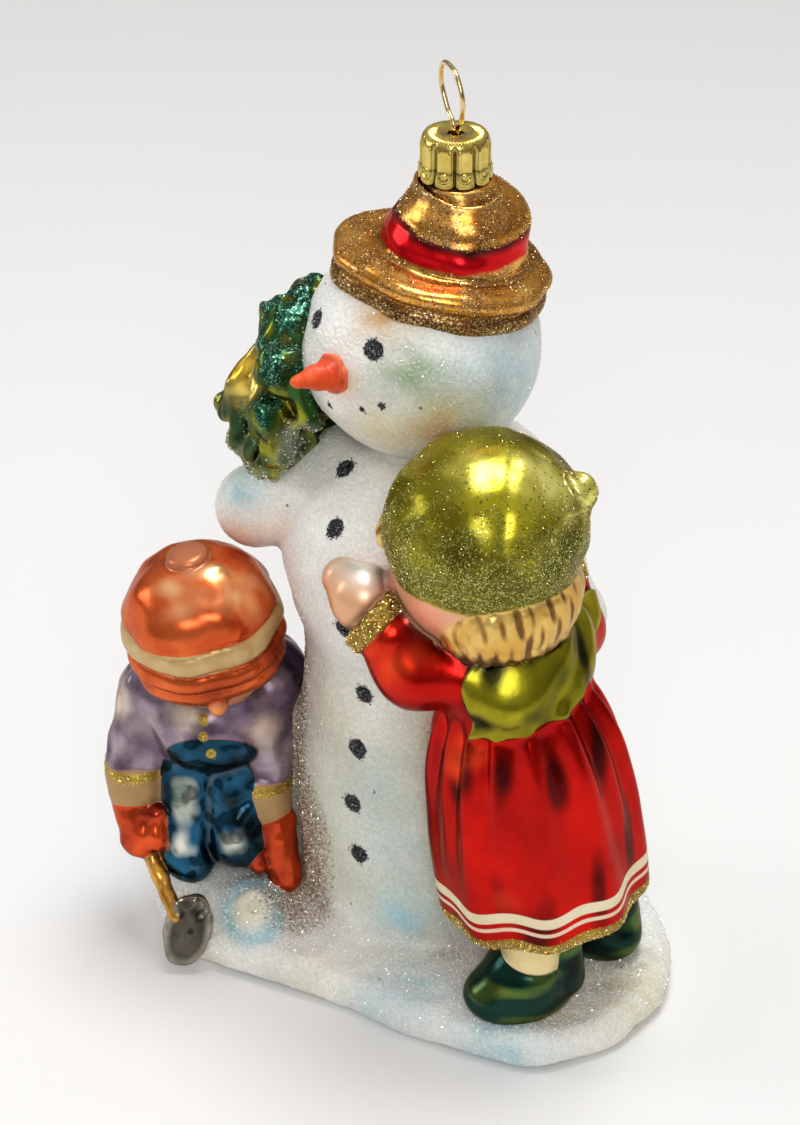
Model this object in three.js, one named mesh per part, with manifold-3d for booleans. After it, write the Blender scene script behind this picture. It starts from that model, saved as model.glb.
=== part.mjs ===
// A mould-blown glass Christmas ornament: a snowman with a small fir tree on his arm, a girl who
// pats snow on his belly and a boy who kneels with a shovel, all on one patch of snow.
// The figures are a single glass body. A carrot nose, a fluted metal cap and a wire hanger are
// separate pieces. Millimetres, +Z up, the snowman faces -Y, the origin is on the table under him.
import * as THREE from "three";
import { mergeVertices } from "three/addons/utils/BufferGeometryUtils.js";
import Module from "manifold-3d";

const wasm = await Module();
wasm.setup();

// Driving dimensions
const BASE_THICKNESS = 6.4;
const BODY_TOP = 88;
const LOWER_RADIUS = 20.6;
const BELLY_RADIUS = 22.6;
const HEAD = { at: [-1.5, -1.5, 101.3], radii: [17.5, 17, 15.8] };
const BRIM_RADIUS = 15.6;
const NECK = { at: [2.1, 1.6], radius: 3.7, wall: 1, top: 132.6, well: 14 };
const CAP = {
  radius: 4.7, flare: 5.1, bottom: 127.2, top: 133.9, wall: 0.4, flutes: 10, groove: 0.3, hole: 1.6,
};
const WIRE = { radius: 0.4, width: 9, top: 144, foot: 122, legSpread: 1.5, turn: -32, lean: 6 };
const NOSE = { length: 7.5, radius: 2.7, tip: 0.9, turn: -9, height: 4, rise: 9 };
const GIRL = { at: [29, -7, 0], turn: -90 };
const BOY = { at: [-27, -18, 0], turn: 36.87 };
const JOIN_GAP = 0.3;

// Small helpers for geometry
const rad = THREE.MathUtils.degToRad;
const vec = (p) => new THREE.Vector3(...p);

function placed(geometry, { at = [0, 0, 0], turn = [0, 0, 0] } = {}) {
  const rotation = new THREE.Quaternion().setFromEuler(new THREE.Euler(...turn.map(rad)));
  return geometry.applyMatrix4(new THREE.Matrix4().compose(vec(at), rotation, vec([1, 1, 1])));
}

// An ellipsoid with its poles on its own Z.
function ball(at, radii, { turn, sides = 10, rings = 6 } = {}) {
  const sphere = new THREE.SphereGeometry(1, sides, rings).rotateX(Math.PI / 2);
  return placed(sphere.scale(...radii), { at, turn });
}

// A profile of [radius, height] points, from the bottom to the top, turned about its own Z.
function turned(profile, { at, turn, sides = 18 } = {}) {
  const points = profile.map(([r, h]) => new THREE.Vector2(r, h));
  return placed(new THREE.LatheGeometry(points, sides).rotateX(Math.PI / 2), { at, turn });
}

// Stands a geometry made along +Z on a point, so that it leads to another point.
function aimed(geometry, from, to) {
  const along = vec(to).sub(vec(from)).normalize();
  const upright = new THREE.Vector3(0, 0, 1);
  geometry.applyQuaternion(new THREE.Quaternion().setFromUnitVectors(upright, along));
  return geometry.translate(...from);
}

// A tapered rod with round ends, between two points.
function limb(from, to, startRadius, endRadius, { sides = 7, steps = 2 } = {}) {
  const length = vec(to).distanceTo(vec(from));
  const lean = Math.asin((startRadius - endRadius) / length);
  const arc = (radius, height, low, high) =>
    Array.from({ length: steps + 1 }, (_, i) => {
      const angle = low + ((high - low) * i) / steps;
      return [Math.max(0, radius * Math.cos(angle)), height + radius * Math.sin(angle)];
    });
  const profile = [
    ...arc(startRadius, 0, -Math.PI / 2, lean),
    ...arc(endRadius, length, lean, Math.PI / 2),
  ];
  return aimed(turned(profile, { sides }), from, to);
}

// Draws the radius of a turned geometry in and out around its axis.
function fluted(geometry, factor) {
  const corner = geometry.getAttribute("position");
  for (let i = 0; i < corner.count; i += 1) {
    const scale = factor(Math.atan2(corner.getY(i), corner.getX(i)));
    corner.setXY(i, corner.getX(i) * scale, corner.getY(i) * scale);
  }
  return geometry;
}

// Moves a figure's pieces from the figure's own frame, in which it faces -Y, to its place.
const standing = ({ at, turn }, pieces) => pieces.map((g) => placed(g, { at, turn: [0, 0, turn] }));

// Closed geometry to a solid, and back.
function solid(geometry) {
  const bare = new THREE.BufferGeometry();
  bare.setAttribute("position", geometry.getAttribute("position"));
  bare.setIndex(geometry.index);
  const merged = mergeVertices(bare, 1e-4);
  const corners = [];
  const index = merged.index;
  for (let i = 0; i < index.count; i += 3) {
    const face = [index.getX(i), index.getX(i + 1), index.getX(i + 2)];
    if (new Set(face).size === 3) corners.push(...face);
  }
  const vertProperties = merged.getAttribute("position").array;
  const triVerts = new Uint32Array(corners);
  return new wasm.Manifold(new wasm.Mesh({ numProp: 3, vertProperties, triVerts }));
}

const fused = (geometries) => geometries.map(solid).reduce((whole, piece) => whole.add(piece));

function shown(name, whole, color, roughness, metalness) {
  const { numProp, vertProperties, triVerts } = whole.getMesh();
  const positions = new Float32Array((vertProperties.length / numProp) * 3);
  for (let i = 0; i < positions.length / 3; i += 1) {
    positions.set(vertProperties.subarray(i * numProp, i * numProp + 3), i * 3);
  }
  const geometry = new THREE.BufferGeometry();
  geometry.setAttribute("position", new THREE.BufferAttribute(positions, 3));
  geometry.setIndex(new THREE.BufferAttribute(triVerts, 1));
  geometry.computeVertexNormals();
  const mesh = new THREE.Mesh(geometry, new THREE.MeshStandardMaterial({ color, roughness, metalness }));
  mesh.name = name;
  return mesh;
}

// The patch of snow: a flat underside, a rounded rim and low drifts
function snowPatch() {
  const rim = [
    [-31, -29], [-24, -33], [-16, -32.6], [-6, -30], [5, -28.4], [17, -27.6], [28, -25],
    [37, -21], [42, -12], [43, -1], [39.5, 9.5], [31, 17.5], [20, 23.5], [4, 26.5], [-12, 25.5],
    [-25, 21.5], [-35, 13.5], [-39, 2], [-39.5, -11], [-36.5, -22.5],
  ];
  const bevel = { bevelThickness: 2.6, bevelSize: 2, bevelOffset: -1.4, bevelSegments: 2 };
  const slab = new THREE.ExtrudeGeometry(new THREE.Shape(rim.map(([x, y]) => new THREE.Vector2(x, y))), {
    depth: BASE_THICKNESS - 2 * bevel.bevelThickness,
    ...bevel,
  });
  return [
    slab.translate(0, 0, bevel.bevelThickness),
    ball([0, -1, 3.5], [27, 24, 7], { sides: 16 }),
    ball([-24, -19, 3.6], [14.5, 11.5, 7.9], { sides: 14 }),
    ball([-16.2, -24, 6], [6.8, 6, 6.4]),
    ball([-29, -4, 4], [8, 13, 6.6]),
    limb([-20.5, -7, 8], [-19.6, -9.4, 36], 9, 6),
    ball([14, -20, 3.2], [13, 6, 5.2]),
  ];
}

// The snowman: two stacked balls, a head and two stubby arms
function snowman() {
  const body = [
    [0, 3], [17, 3], [20, 8], [LOWER_RADIUS, 18], [LOWER_RADIUS, 34], [19.7, 45], [19.3, 54],
    [21.2, 61], [BELLY_RADIUS, 68.5], [21.4, 75], [18.4, 80.2], [12.6, 85.8], [0, BODY_TOP],
  ];
  return [
    turned(body, { sides: 22 }),
    ball(HEAD.at, HEAD.radii, { sides: 22, rings: 12 }),
    limb([-11.5, -6, 77.5], [-23.4, -12.8, 72.4], 8.5, 6.3, { sides: 9, steps: 3 }),
    limb([13, 3, 72], [17.3, 9.4, 58], 7.2, 6.4, { sides: 9, steps: 3 }),
  ];
}

// The hat: a tilted rolled brim, a ribbon band, a domed crown and the glass neck under the cap
function snowmanHat() {
  const brim = [
    [0, -5], [11.5, -5], [14, -4], [BRIM_RADIUS, -2], [BRIM_RADIUS + 0.1, 0], [14.3, 1.5],
    [12.5, 1.4], [10, 2.2], [0, 2.2],
  ];
  const band = [[0, -2], [10.6, -2], [10.4, 3], [9.9, 5], [9, 7], [0, 7.2]];
  const neck = [
    [0, 116], [7.6, 123], [6, 125.6], [5.4, 126.9], [NECK.radius, 126.9], [NECK.radius, NECK.top],
    [0, NECK.top],
  ];
  return [
    turned(brim, { at: [0.4, 1.1, 113.7], turn: [-6, 8, 0] }),
    turned(band, { at: [1.6, 1.3, 114.2], turn: [-6, 8, 0] }),
    ball([3.2, 2.4, 120.6], [8.9, 8.9, 6], { sides: 16, rings: 6 }),
    turned(neck, { at: [...NECK.at, 0], sides: 16 }),
  ];
}

// The fir tree: three tiers of drooping boughs that lean on the snowman's shoulder
function tree() {
  const foot = [-21.6, -12, 77.5];
  const tip = [-15.2, -7.4, 110.6];
  const tiers = [
    { bottom: 0, reach: 6.8, top: 15, phase: 0.5 },
    { bottom: 7, reach: 8.8, top: 22, phase: 2.6 },
    { bottom: 16.5, reach: 7.2, top: vec(tip).distanceTo(vec(foot)), phase: 4.4 },
  ];
  return tiers.map(({ bottom, reach, top, phase }) => {
    const droop = [
      [0, bottom + 1], [reach * 0.6, bottom], [reach * 0.95, bottom + 1.6], [reach, bottom + 4],
      [reach * 0.74, (bottom + top) / 2 + 1.5], [0, top],
    ];
    const lobes = (angle) => 1 + 0.13 * Math.cos(5 * angle + phase);
    return aimed(fluted(turned(droop, { sides: 15 }), lobes), foot, tip);
  });
}

// The girl: she leans on the belly with both hands; her own frame has her left on +X
function girl() {
  const hem = [1.6, -1.6, 21.5];
  const waist = [5.4, -4.2, 56.5];
  const drape = [
    [0, 0], [13.6, -0.6], [15.2, 0.6], [15.4, 8], [15, 17], [14, 25], [12, 31], [9.4, 34.5], [0, 35.5],
  ];
  const gathers = (angle) => 1 + 0.035 * Math.cos(9 * angle);
  const wrist = [19.7, -18.4, 72.2];
  const cuff = [[0, -1.1], [5.1, -1.1], [5.5, 0], [5.1, 1.1], [0, 1.1]];
  const boot = (x, y, turn) => [
    ball([x, y, 9.4], [6, 8.6, 5.4], { turn: [0, 0, turn] }),
    limb([x, y + 1, 12], [x, y + 1, 24], 5.2, 4.4, { sides: 6 }),
  ];
  return [
    aimed(fluted(turned(drape, { sides: 27 }), gathers), hem, waist),
    ball([6.6, -5.4, 60.5], [10.4, 8.6, 10]),
    ball([5.8, -1.2, 61.5], [10.2, 6.6, 9.4], { turn: [10, 0, 0] }),
    ball([9.8, -8.2, 80.8], [12.6, 12.2, 12]),
    ball([9.2, -7.6, 86], [14.6, 14.2, 13.6], { turn: [8, 0, 0], sides: 16, rings: 9 }),
    limb([7.4, -1.5, 92], [3.9, 4.2, 93.4], 3.6, 2.2),
    limb([10.5, -5.5, 63.5], [17.6, -13.4, 65.2], 6.2, 5.8, { sides: 9 }),
    limb([17.6, -13.4, 65.2], [19.4, -16.4, 70.4], 5.8, 5, { sides: 9 }),
    aimed(turned(cuff, { sides: 12 }), wrist, [19.9, -19.2, 72.8]),
    ball([18.9, -21.1, 73.6], [4.6, 4.6, 4.6]),
    limb([18.9, -22, 74], [18, -26, 75], 4.2, 3.2),
    limb([-2, -4, 64], [-11, -7, 60], 5.6, 5),
    limb([-11, -7, 60], [-12, -10, 68], 5, 4.2),
    ...boot(9.4, 0, 55),
    ...boot(-10.4, -0.6, 0),
  ];
}

// The boy: he kneels on the mound with a shovel in his right mitten
function boy() {
  const hat = [
    [0, -8.4], [9, -8.4], [11.2, -7], [11.9, -4.5], [11.5, -1.8], [12, -0.4], [11.9, 2.4], [11.2, 5.2],
    [9.2, 8.4], [6, 10.8], [2.9, 11.6], [2.7, 13], [0, 13.8],
  ];
  const knee = { right: [-5.6, -8.2, 15.4], left: [1.8, -6.4, 17] };
  return [
    turned(hat, { at: [-2, -5.5, 56.5], turn: [5, -9, 0], sides: 16 }),
    ball([-0.8, -5.2, 51.4], [9.2, 9.4, 8.2]),
    ball([0.6, -14.4, 47.8], [1.5, 1.8, 2], { sides: 8 }),
    ball([-1.6, -1, 37], [11.8, 8.8, 10.5]),
    ball([3.5, 3.5, 41], [9.5, 7, 9.5], { sides: 8 }),
    limb([-10, 0.6, 40], [-13.6, -3.4, 29], 6.2, 4.8),
    limb([-13.5, -4.2, 28], [-13.4, -4.9, 26], 4.6, 4.4),
    limb([-13.2, -6, 23.6], [-12.4, -7.8, 19], 4, 3.6),
    limb([6.4, 0.4, 41], [6, -4, 27], 6, 4.5),
    limb([6, -4.4, 25.6], [6.2, -4.8, 23.4], 4.5, 4.4),
    limb([7.2, -5.4, 20.4], [9.6, -8.2, 11.4], 4, 2.6),
    limb([-4.4, -3.4, 31], knee.right, 5.4, 3.8),
    limb([3, -3, 30], knee.left, 5.9, 4.6),
    limb(knee.right, [-6, 9.5, 11.5], 3.8, 4.2),
    limb(knee.left, [4, 9.5, 12], 4.4, 4.2),
    limb([-12.2, -8, 18], [-6.4, -17.4, 9.5], 1.3, 1.3, { sides: 6 }),
    ball([-5.2, -16.8, 7.6], [4, 1.9, 6], { turn: [-8, 14, 0] }),
  ];
}

// The glass body: flat where it meets the table, open at the neck for the hanger's legs
function glassBody() {
  const bore = NECK.radius - NECK.wall;
  const well = turned([[0, 0], [bore, 0], [bore, NECK.well + 4], [0, NECK.well + 4]], {
    at: [...NECK.at, NECK.top - NECK.well],
    sides: 14,
  });
  const table = new THREE.BoxGeometry(120, 120, 20).translate(0, 0, -10);
  const figures = fused([
    ...snowPatch(),
    ...snowman(),
    ...snowmanHat(),
    ...tree(),
    ...standing(GIRL, girl()),
    ...standing(BOY, boy()),
  ]);
  return figures.subtract(solid(table)).subtract(solid(well));
}

// The carrot: a tapered root with a round tip, seated on the curve of the head
function carrotNose() {
  const { length, radius, tip, turn, height, rise } = NOSE;
  const profile = [
    [0, -4], [radius, -4], [radius, 1.5], [radius * 0.82, length * 0.45], [tip, length - tip],
    [tip * 0.7, length - tip * 0.3], [0, length],
  ];
  const root = vec([0, -HEAD.radii[1], 0]).applyEuler(new THREE.Euler(rad(-height), 0, 0));
  const carrot = placed(turned(profile, { sides: 14 }), { at: root.toArray(), turn: [90 - rise, 0, 0] });
  const seat = HEAD.radii.map((r) => r + JOIN_GAP);
  return solid(carrot.rotateZ(rad(turn)).translate(...HEAD.at))
    .subtract(solid(ball(HEAD.at, seat, { sides: 22, rings: 12 })));
}

// The cap: a thin fluted sleeve over the glass neck, closed on top but for a hole
function cap() {
  const { radius, flare, bottom, top, wall, flutes, groove, hole } = CAP;
  const sleeve = [
    [flare - wall, bottom], [flare, bottom], [radius, bottom + 2.4], [radius, top - 0.8],
    [radius - 0.6, top], [hole, top], [hole, top - wall], [radius - wall - 0.4, top - wall],
    [radius - wall, top - wall - 0.6], [radius - wall, bottom + 2.4], [flare - wall, bottom],
  ];
  const panel = (2 * Math.PI) / flutes;
  const inGroove = (angle) => Math.abs(angle / panel - Math.round(angle / panel)) < 0.1;
  const flute = (angle) => (inGroove(angle) ? 1 - groove / radius : 1);
  return solid(fluted(turned(sleeve, { sides: 3 * flutes }), flute).translate(...NECK.at, 0));
}

// The hanger: one loop of spring wire whose two legs spread inside the neck
function hangerWire() {
  const { radius, width, top, foot, legSpread, turn, lean } = WIRE;
  const half = [
    [legSpread, foot], [0.7, 130], [0.65, 134.4], [2.6, 136.2], [width / 2 - radius, 139.6],
    [2.7, top - radius - 0.8],
  ];
  const side = (sign) => half.map(([x, z]) => new THREE.Vector3(sign * x, 0, z));
  const path = new THREE.CatmullRomCurve3([
    ...side(-1),
    new THREE.Vector3(0, 0, top - radius),
    ...side(1).reverse(),
  ]);
  const section = new THREE.Shape().absarc(0, 0, radius, 0, 2 * Math.PI);
  const wire = new THREE.ExtrudeGeometry(section, { steps: 32, curveSegments: 3, extrudePath: path });
  const pivot = 134;
  wire.translate(0, 0, -pivot).rotateX(rad(lean));
  return solid(placed(wire, { at: [...NECK.at, pivot], turn: [0, 0, turn] }));
}

const ornament = new THREE.Group();
ornament.add(
  shown("glass_body", glassBody(), 0xe9ebe8, 0.35, 0.2),
  shown("carrot_nose", carrotNose(), 0xe8603a, 0.55, 0),
  shown("cap", cap(), 0xe0b84a, 0.22, 1),
  shown("hanger_wire", hangerWire(), 0xd9bb6a, 0.25, 1),
);

export default ornament;
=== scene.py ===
"""A mould-blown glass Christmas ornament: a snowman with a small fir tree on his arm, a girl who pats
snow on his belly and a boy who kneels with a shovel, all on one patch of snow.

The glass figures are distance fields in millimetres, skinned with quads. Their paints are attributes on
the skin, so that a painted edge stays crisp, and the glitter is small flakes strewn on it.
"""
import math

import bpy
import numpy as np
from mathutils import Euler, Matrix, Vector


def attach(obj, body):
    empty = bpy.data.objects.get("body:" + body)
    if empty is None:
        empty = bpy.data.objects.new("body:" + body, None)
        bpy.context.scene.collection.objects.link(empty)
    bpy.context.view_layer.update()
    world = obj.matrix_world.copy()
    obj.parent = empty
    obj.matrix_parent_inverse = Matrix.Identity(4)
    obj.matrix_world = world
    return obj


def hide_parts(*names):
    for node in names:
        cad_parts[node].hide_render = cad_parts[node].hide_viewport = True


bl_info = {
    "name": "Blown Glass Snowman Ornament",
    "version": (1, 0, 0),
    "blender": (4, 5, 0),
    "location": "View3D > Sidebar > Ornament",
    "description": "Makes a painted glass snowman ornament with two children, a fir tree, a cap and a hanger",
    "category": "Add Mesh",
}

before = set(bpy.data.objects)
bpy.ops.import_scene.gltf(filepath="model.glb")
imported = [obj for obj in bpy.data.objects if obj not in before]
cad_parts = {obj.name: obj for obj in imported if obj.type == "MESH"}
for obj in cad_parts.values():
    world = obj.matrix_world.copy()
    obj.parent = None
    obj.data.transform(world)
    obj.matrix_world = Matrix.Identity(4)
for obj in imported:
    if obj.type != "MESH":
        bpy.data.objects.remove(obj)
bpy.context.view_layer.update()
MM = 0.001
SEED = 7

# Places and sizes, in millimetres, and turns in degrees
BASE_THICKNESS = 6.4
BODY_TOP = 88
LOWER_RADIUS = 20.6
BELLY_RADIUS = 22.6
HEAD_AT = (-1.5, -1.5, 101.3)
HEAD_RADII = (17.5, 17, 15.8)
BRIM_RADIUS = 15.6
HAT_AT = (0.4, 1.1, 113.7)
HAT_TURN = (-6, 8, 0)
NECK_AT = (2.1, 1.6)
NECK_RADIUS = 3.7
NECK_TOP = 132.6
NECK_WELL = 14
CAP_BOTTOM = 127.2
CAP_RADIUS = 4.7
CAP_FLARE = 5.1
CAP_WALL = 0.35
CAP_HOLE = 1.35
PETALS = 10
WIRE_TOP = 144
WIRE_WIDTH = 9
WIRE_FOOT = 134
WIRE_LEAN = 6
WIRE_SPIN = -32
NOSE_LENGTH = 7.5
NOSE_RADIUS = 2.7
GIRL_AT = (29, -7, 0)
GIRL_TURN = -90
BOY_AT = (-27, -18, 0)
BOY_TURN = 36.87
TREE_FOOT = (-21.6, -12, 77.5)
TREE_TIP = (-15.2, -7.4, 110.6)

# How the skins and the paints are worked out: the width over which a relief fades at a paint's border,
# the deepest value that is stored of a paint, the quads of the nose, and the points in one batch
SOFT_EDGE = 0.8
DEEPEST_MARK = 3
NOSE_CELL = 0.2
BATCH = 400000

# The photo's view, with places in metres
CAMERA_AZIMUTH = math.radians(38)
CAMERA_ELEVATION = math.radians(30.5)
CAMERA_DISTANCE = 0.44
CAMERA_TARGET = (-0.004, -0.003, 0.065)
FOCAL_PIXELS = 2950
LONG_SIDE_PIXELS = 1125


# Small helpers for points

def unit(vector):
    vector = np.array(vector, float)
    return vector / np.linalg.norm(vector)


def turn_matrix(turn):
    """The matrix that turns about Z first, then Y, then X, by degrees."""
    return np.array(Euler([math.radians(a) for a in turn], "ZYX").to_matrix())


def toward_matrix(start, end):
    """The matrix that leads +Z from one point to another by the shortest turn."""
    way = Vector(end) - Vector(start)
    return np.array(Vector((0, 0, 1)).rotation_difference(way).to_matrix())


def through(points, closed=False, per_span=6):
    """A smooth curve through points."""
    points = np.array(points, float)
    if closed:
        points = np.vstack([points[-1], points, points[:2]])
    else:
        points = np.vstack([2 * points[0] - points[1], points, 2 * points[-1] - points[-2]])
    p0, p1, p2, p3 = points[:-3], points[1:-2], points[2:-1], points[3:]
    t = np.linspace(0, 1, per_span, endpoint=False)[:, None, None]
    curve = p1 + t * (p2 - p0) / 2 + t ** 2 * (2 * p0 - 5 * p1 + 4 * p2 - p3) / 2
    curve = curve + t ** 3 * (3 * p1 - p0 - 3 * p2 + p3) / 2
    curve = curve.transpose(1, 0, 2).reshape(-1, points.shape[1])
    return curve if closed else np.vstack([curve, points[-2]])


def ripple(points, length, seed, waves=7):
    """Soft random waves of one rough length, from -1 to 1."""
    chance = np.random.default_rng(SEED + seed)
    total = np.zeros(len(points), np.float32)
    for _ in range(waves):
        way = unit(chance.normal(size=3)) * 2 * math.pi / (length * chance.uniform(0.75, 1.35))
        total += np.sin(points @ way.astype(np.float32) + chance.uniform(0, 6.28))
    return total / math.sqrt(waves) / 1.4


def near(points, centre, radius):
    """A soft spot, 1 at its centre and fading past its radius."""
    gap = points - np.array(centre, np.float32)
    return np.exp(-np.einsum("ij,ij->i", gap, gap) / (radius * radius))


def spots(points, *table):
    """The sum of soft spots, each given by its centre, radius and strength."""
    return sum(strength * near(points, centre, radius) for centre, radius, strength in table)


def clamped(values):
    """Values held between 0 and 1."""
    return np.clip(values, 0, 1)


# Distance fields: each shape is a function from points to signed distances

def ball(at, radii, turn=(0, 0, 0), matrix=None):
    """An ellipsoid."""
    at = np.array(at, np.float32)
    radii = np.array(radii, np.float32)
    matrix = (turn_matrix(turn) if matrix is None else matrix).astype(np.float32)

    def distance(points):
        q = (points - at) @ matrix / radii
        reach = np.sqrt(np.einsum("ij,ij->i", q, q))
        q = q / radii
        slope = np.sqrt(np.einsum("ij,ij->i", q, q))
        return reach * (reach - 1) / np.maximum(slope, 1e-5)

    return distance


def limb(start, end, start_radius, end_radius):
    """A tapered rod with round ends."""
    start = np.array(start, np.float32)
    way = np.array(end, np.float32) - start
    length = float(way @ way)

    def distance(points):
        q = points - start
        t = np.clip(q @ way / length, 0, 1)
        q = q - t[:, None] * way
        return np.sqrt(np.einsum("ij,ij->i", q, q)) - (start_radius + t * (end_radius - start_radius))

    return distance


def outline(curve, closed=False, step=0.35, margin=6):
    """The signed distance to a flat outline, kept in a table and looked up."""
    curve = np.array(curve, float)
    low = curve.min(0) - margin
    if not closed:
        low[0] = 0
    count = np.ceil((curve.max(0) + margin - low) / step).astype(int) + 1
    x, y = np.meshgrid(*(low[i] + step * np.arange(count[i]) for i in range(2)), indexing="ij")
    ends = np.roll(curve, -1, axis=0) if closed else curve[1:]
    best = np.full(x.shape, 1e6)
    inside = np.zeros(x.shape, bool)
    for (ax, ay), (bx, by) in zip(curve, ends):
        dx, dy = bx - ax, by - ay
        t = np.clip(((x - ax) * dx + (y - ay) * dy) / max(dx * dx + dy * dy, 1e-9), 0, 1)
        best = np.minimum(best, (x - ax - t * dx) ** 2 + (y - ay - t * dy) ** 2)
        if ay != by:
            inside ^= ((ay > y) != (by > y)) & (x < dx * (y - ay) / dy + ax)
    table = np.where(inside, -np.sqrt(best), np.sqrt(best)).astype(np.float32)

    def distance(u, v):
        fu, fv = (u - low[0]) / step, (v - low[1]) / step
        cu, cv = np.clip(fu, 0, count[0] - 1.001), np.clip(fv, 0, count[1] - 1.001)
        iu, iv = cu.astype(np.int32), cv.astype(np.int32)
        tu, tv = cu - iu, cv - iv
        below = table[iu, iv] * (1 - tu) + table[iu + 1, iv] * tu
        above = table[iu, iv + 1] * (1 - tu) + table[iu + 1, iv + 1] * tu
        beyond = step * np.hypot(np.maximum(fu - cu, 0), fv - cv)
        return below * (1 - tv) + above * tv + beyond

    return distance


def turned(profile, at=(0, 0, 0), turn=(0, 0, 0), matrix=None, swell=None, smooth=True):
    """A profile of [radius, height] points turned about Z. swell scales its radius by angle and height."""
    section = outline(through(profile) if smooth else profile)
    at = np.array(at, np.float32)
    matrix = (turn_matrix(turn) if matrix is None else matrix).astype(np.float32)

    def distance(points):
        q = (points - at) @ matrix
        radius = np.hypot(q[:, 0], q[:, 1])
        if swell:
            radius = radius / swell(np.arctan2(q[:, 1], q[:, 0]), q[:, 2])
        return section(radius, q[:, 2])

    return distance


def slab(rim, height, rounding):
    """A flat patch with a rounded rim."""
    edge = outline(through(rim, closed=True, per_span=4), closed=True, step=0.6)

    def distance(points):
        side = edge(points[:, 0], points[:, 1]) + rounding
        level = np.abs(points[:, 2] - height / 2) - height / 2 + rounding
        outside = np.hypot(np.maximum(side, 0), np.maximum(level, 0))
        return outside + np.minimum(np.maximum(side, level), 0) - rounding

    return distance


def smooth_min(a, b, blend):
    lap = np.maximum(blend - np.abs(a - b), 0) / blend
    return np.minimum(a, b) - lap * lap * blend / 4


class Figure:
    """A glass figure: shapes with their paints, joined with soft creases, and a relief worked into them.

    parts holds (paint, blend, shape). relief gets local points and a function that says how much each
    point is under a paint, and cut gets local points and their distances. The skin is made in the
    figure's own frame, and then turned about Z and moved to its place.
    """

    def __init__(self, parts, low, high, cell, relief=None, at=(0, 0, 0), turn=0, cut=None):
        self.parts, self.low, self.high, self.cell = parts, low, high, cell
        self.relief, self.cut = relief, cut
        self.at = np.array(at, np.float32)
        self.matrix = turn_matrix((0, 0, turn)).astype(np.float32)

    def placed(self, points):
        """Points of the figure's own frame where they stand on the ornament."""
        return points @ self.matrix.T + self.at

    def paints(self, points):
        """The signed distance to the whole and to each paint's shapes."""
        whole = np.full(len(points), 1e3, np.float32)
        own = {}
        for paint, blend, shape in self.parts:
            d = shape(points)
            whole = smooth_min(whole, d, blend)
            own[paint] = np.minimum(own[paint], d) if paint in own else d
        return whole, own

    def covers(self, own):
        """For each paint, how far inside its own area a point is, in millimetres."""
        names = list(own)
        if len(names) == 1:
            return {names[0]: np.full_like(own[names[0]], 1)}
        table = np.stack([own[name] for name in names])
        lowest = np.partition(table, 1, axis=0)[:2]
        is_lowest = table <= lowest[0]
        return {name: np.where(is_lowest[i], lowest[1], lowest[0]) - table[i] for i, name in enumerate(names)}

    def distance(self, points):
        whole, own = self.paints(points)
        if self.relief:
            depths = self.covers(own)
            whole = whole + self.relief(points, lambda paint: clamped(0.5 + depths[paint] / SOFT_EDGE))
        if self.cut:
            whole = self.cut(points, whole)
        return whole

    def slope(self, points, reach=0.04):
        """The field's value and gradient."""
        ways = np.array([(1, -1, -1), (-1, -1, 1), (-1, 1, -1), (1, 1, 1)], np.float32)
        values = [self.distance(points + reach * way) for way in ways]
        gradient = sum(value[:, None] * way for value, way in zip(values, ways)) / (4 * reach)
        return sum(values) / 4, gradient


# From a field to a skin of quads

def sampled(figure, stride=4):
    """The field on a grid, worked out only near the surface."""
    cell = figure.cell
    low = np.array(figure.low, float) - 2 * cell
    blocks = np.ceil((np.array(figure.high) + 2 * cell - low) / (cell * stride)).astype(int)
    centres = [low[i] + cell * stride * (np.arange(blocks[i]) + 0.5) for i in range(3)]
    points = np.stack(np.meshgrid(*centres, indexing="ij"), -1).reshape(-1, 3).astype(np.float32)
    values = figure.distance(points).reshape(blocks)
    half_diagonal = 0.87 * stride
    active = np.abs(values) < 1.25 * cell * (half_diagonal + 1.8)
    for axis in range(3):
        values = np.repeat(values, stride, axis)
        active = np.repeat(active, stride, axis)
    nodes = np.argwhere(active)
    for start in range(0, len(nodes), BATCH):
        part = nodes[start:start + BATCH]
        where = (low + cell * part).astype(np.float32)
        values[tuple(part.T)] = figure.distance(where)
    return low, values


def net_corners(values, inside):
    """A corner for each cell that the surface crosses, measured in cells, and each cell's corner number."""
    shape = np.array(values.shape) - 1
    ends = [np.array((i, j, k)) for i in (0, 1) for j in (0, 1) for k in (0, 1)]
    count = sum(
        inside[i:i + shape[0], j:j + shape[1], k:k + shape[2]].astype(np.int8) for i, j, k in ends
    )
    mixed = (count > 0) & (count < 8)
    cells = np.argwhere(mixed)
    total = np.zeros((len(cells), 3))
    hits = np.zeros(len(cells))
    for a in ends:
        for axis in range(3):
            if a[axis]:
                continue
            b = a.copy()
            b[axis] = 1
            va, vb = values[tuple((cells + a).T)], values[tuple((cells + b).T)]
            cross = (va < 0) != (vb < 0)
            t = np.where(cross, va / np.where(cross, va - vb, 1), 0)
            total += cross[:, None] * (a + t[:, None] * (b - a))
            hits += cross
    number = np.full(mixed.shape, -1, np.int32)
    number[mixed] = np.arange(len(cells))
    return cells + total / hits[:, None], number


def net_quads(inside, number):
    """A quad across each grid edge that the surface crosses, wound to face outwards."""
    quads = []
    for axis in range(3):
        ahead, u, v = np.roll(np.eye(3, dtype=int), -axis, axis=0)
        here = inside[tuple(slice(0, n) for n in number.shape)]
        there = inside[tuple(slice(i, n + i) for i, n in zip(ahead, number.shape))]
        nodes = np.argwhere(here != there)
        ring = np.stack([number[tuple((nodes - way).T)] for way in (u + v, v, 0 * u, u)], 1)
        outward = here[tuple(nodes.T)]
        quads.append(np.where(outward[:, None], ring, ring[:, ::-1]))
    return np.concatenate(quads)


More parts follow.
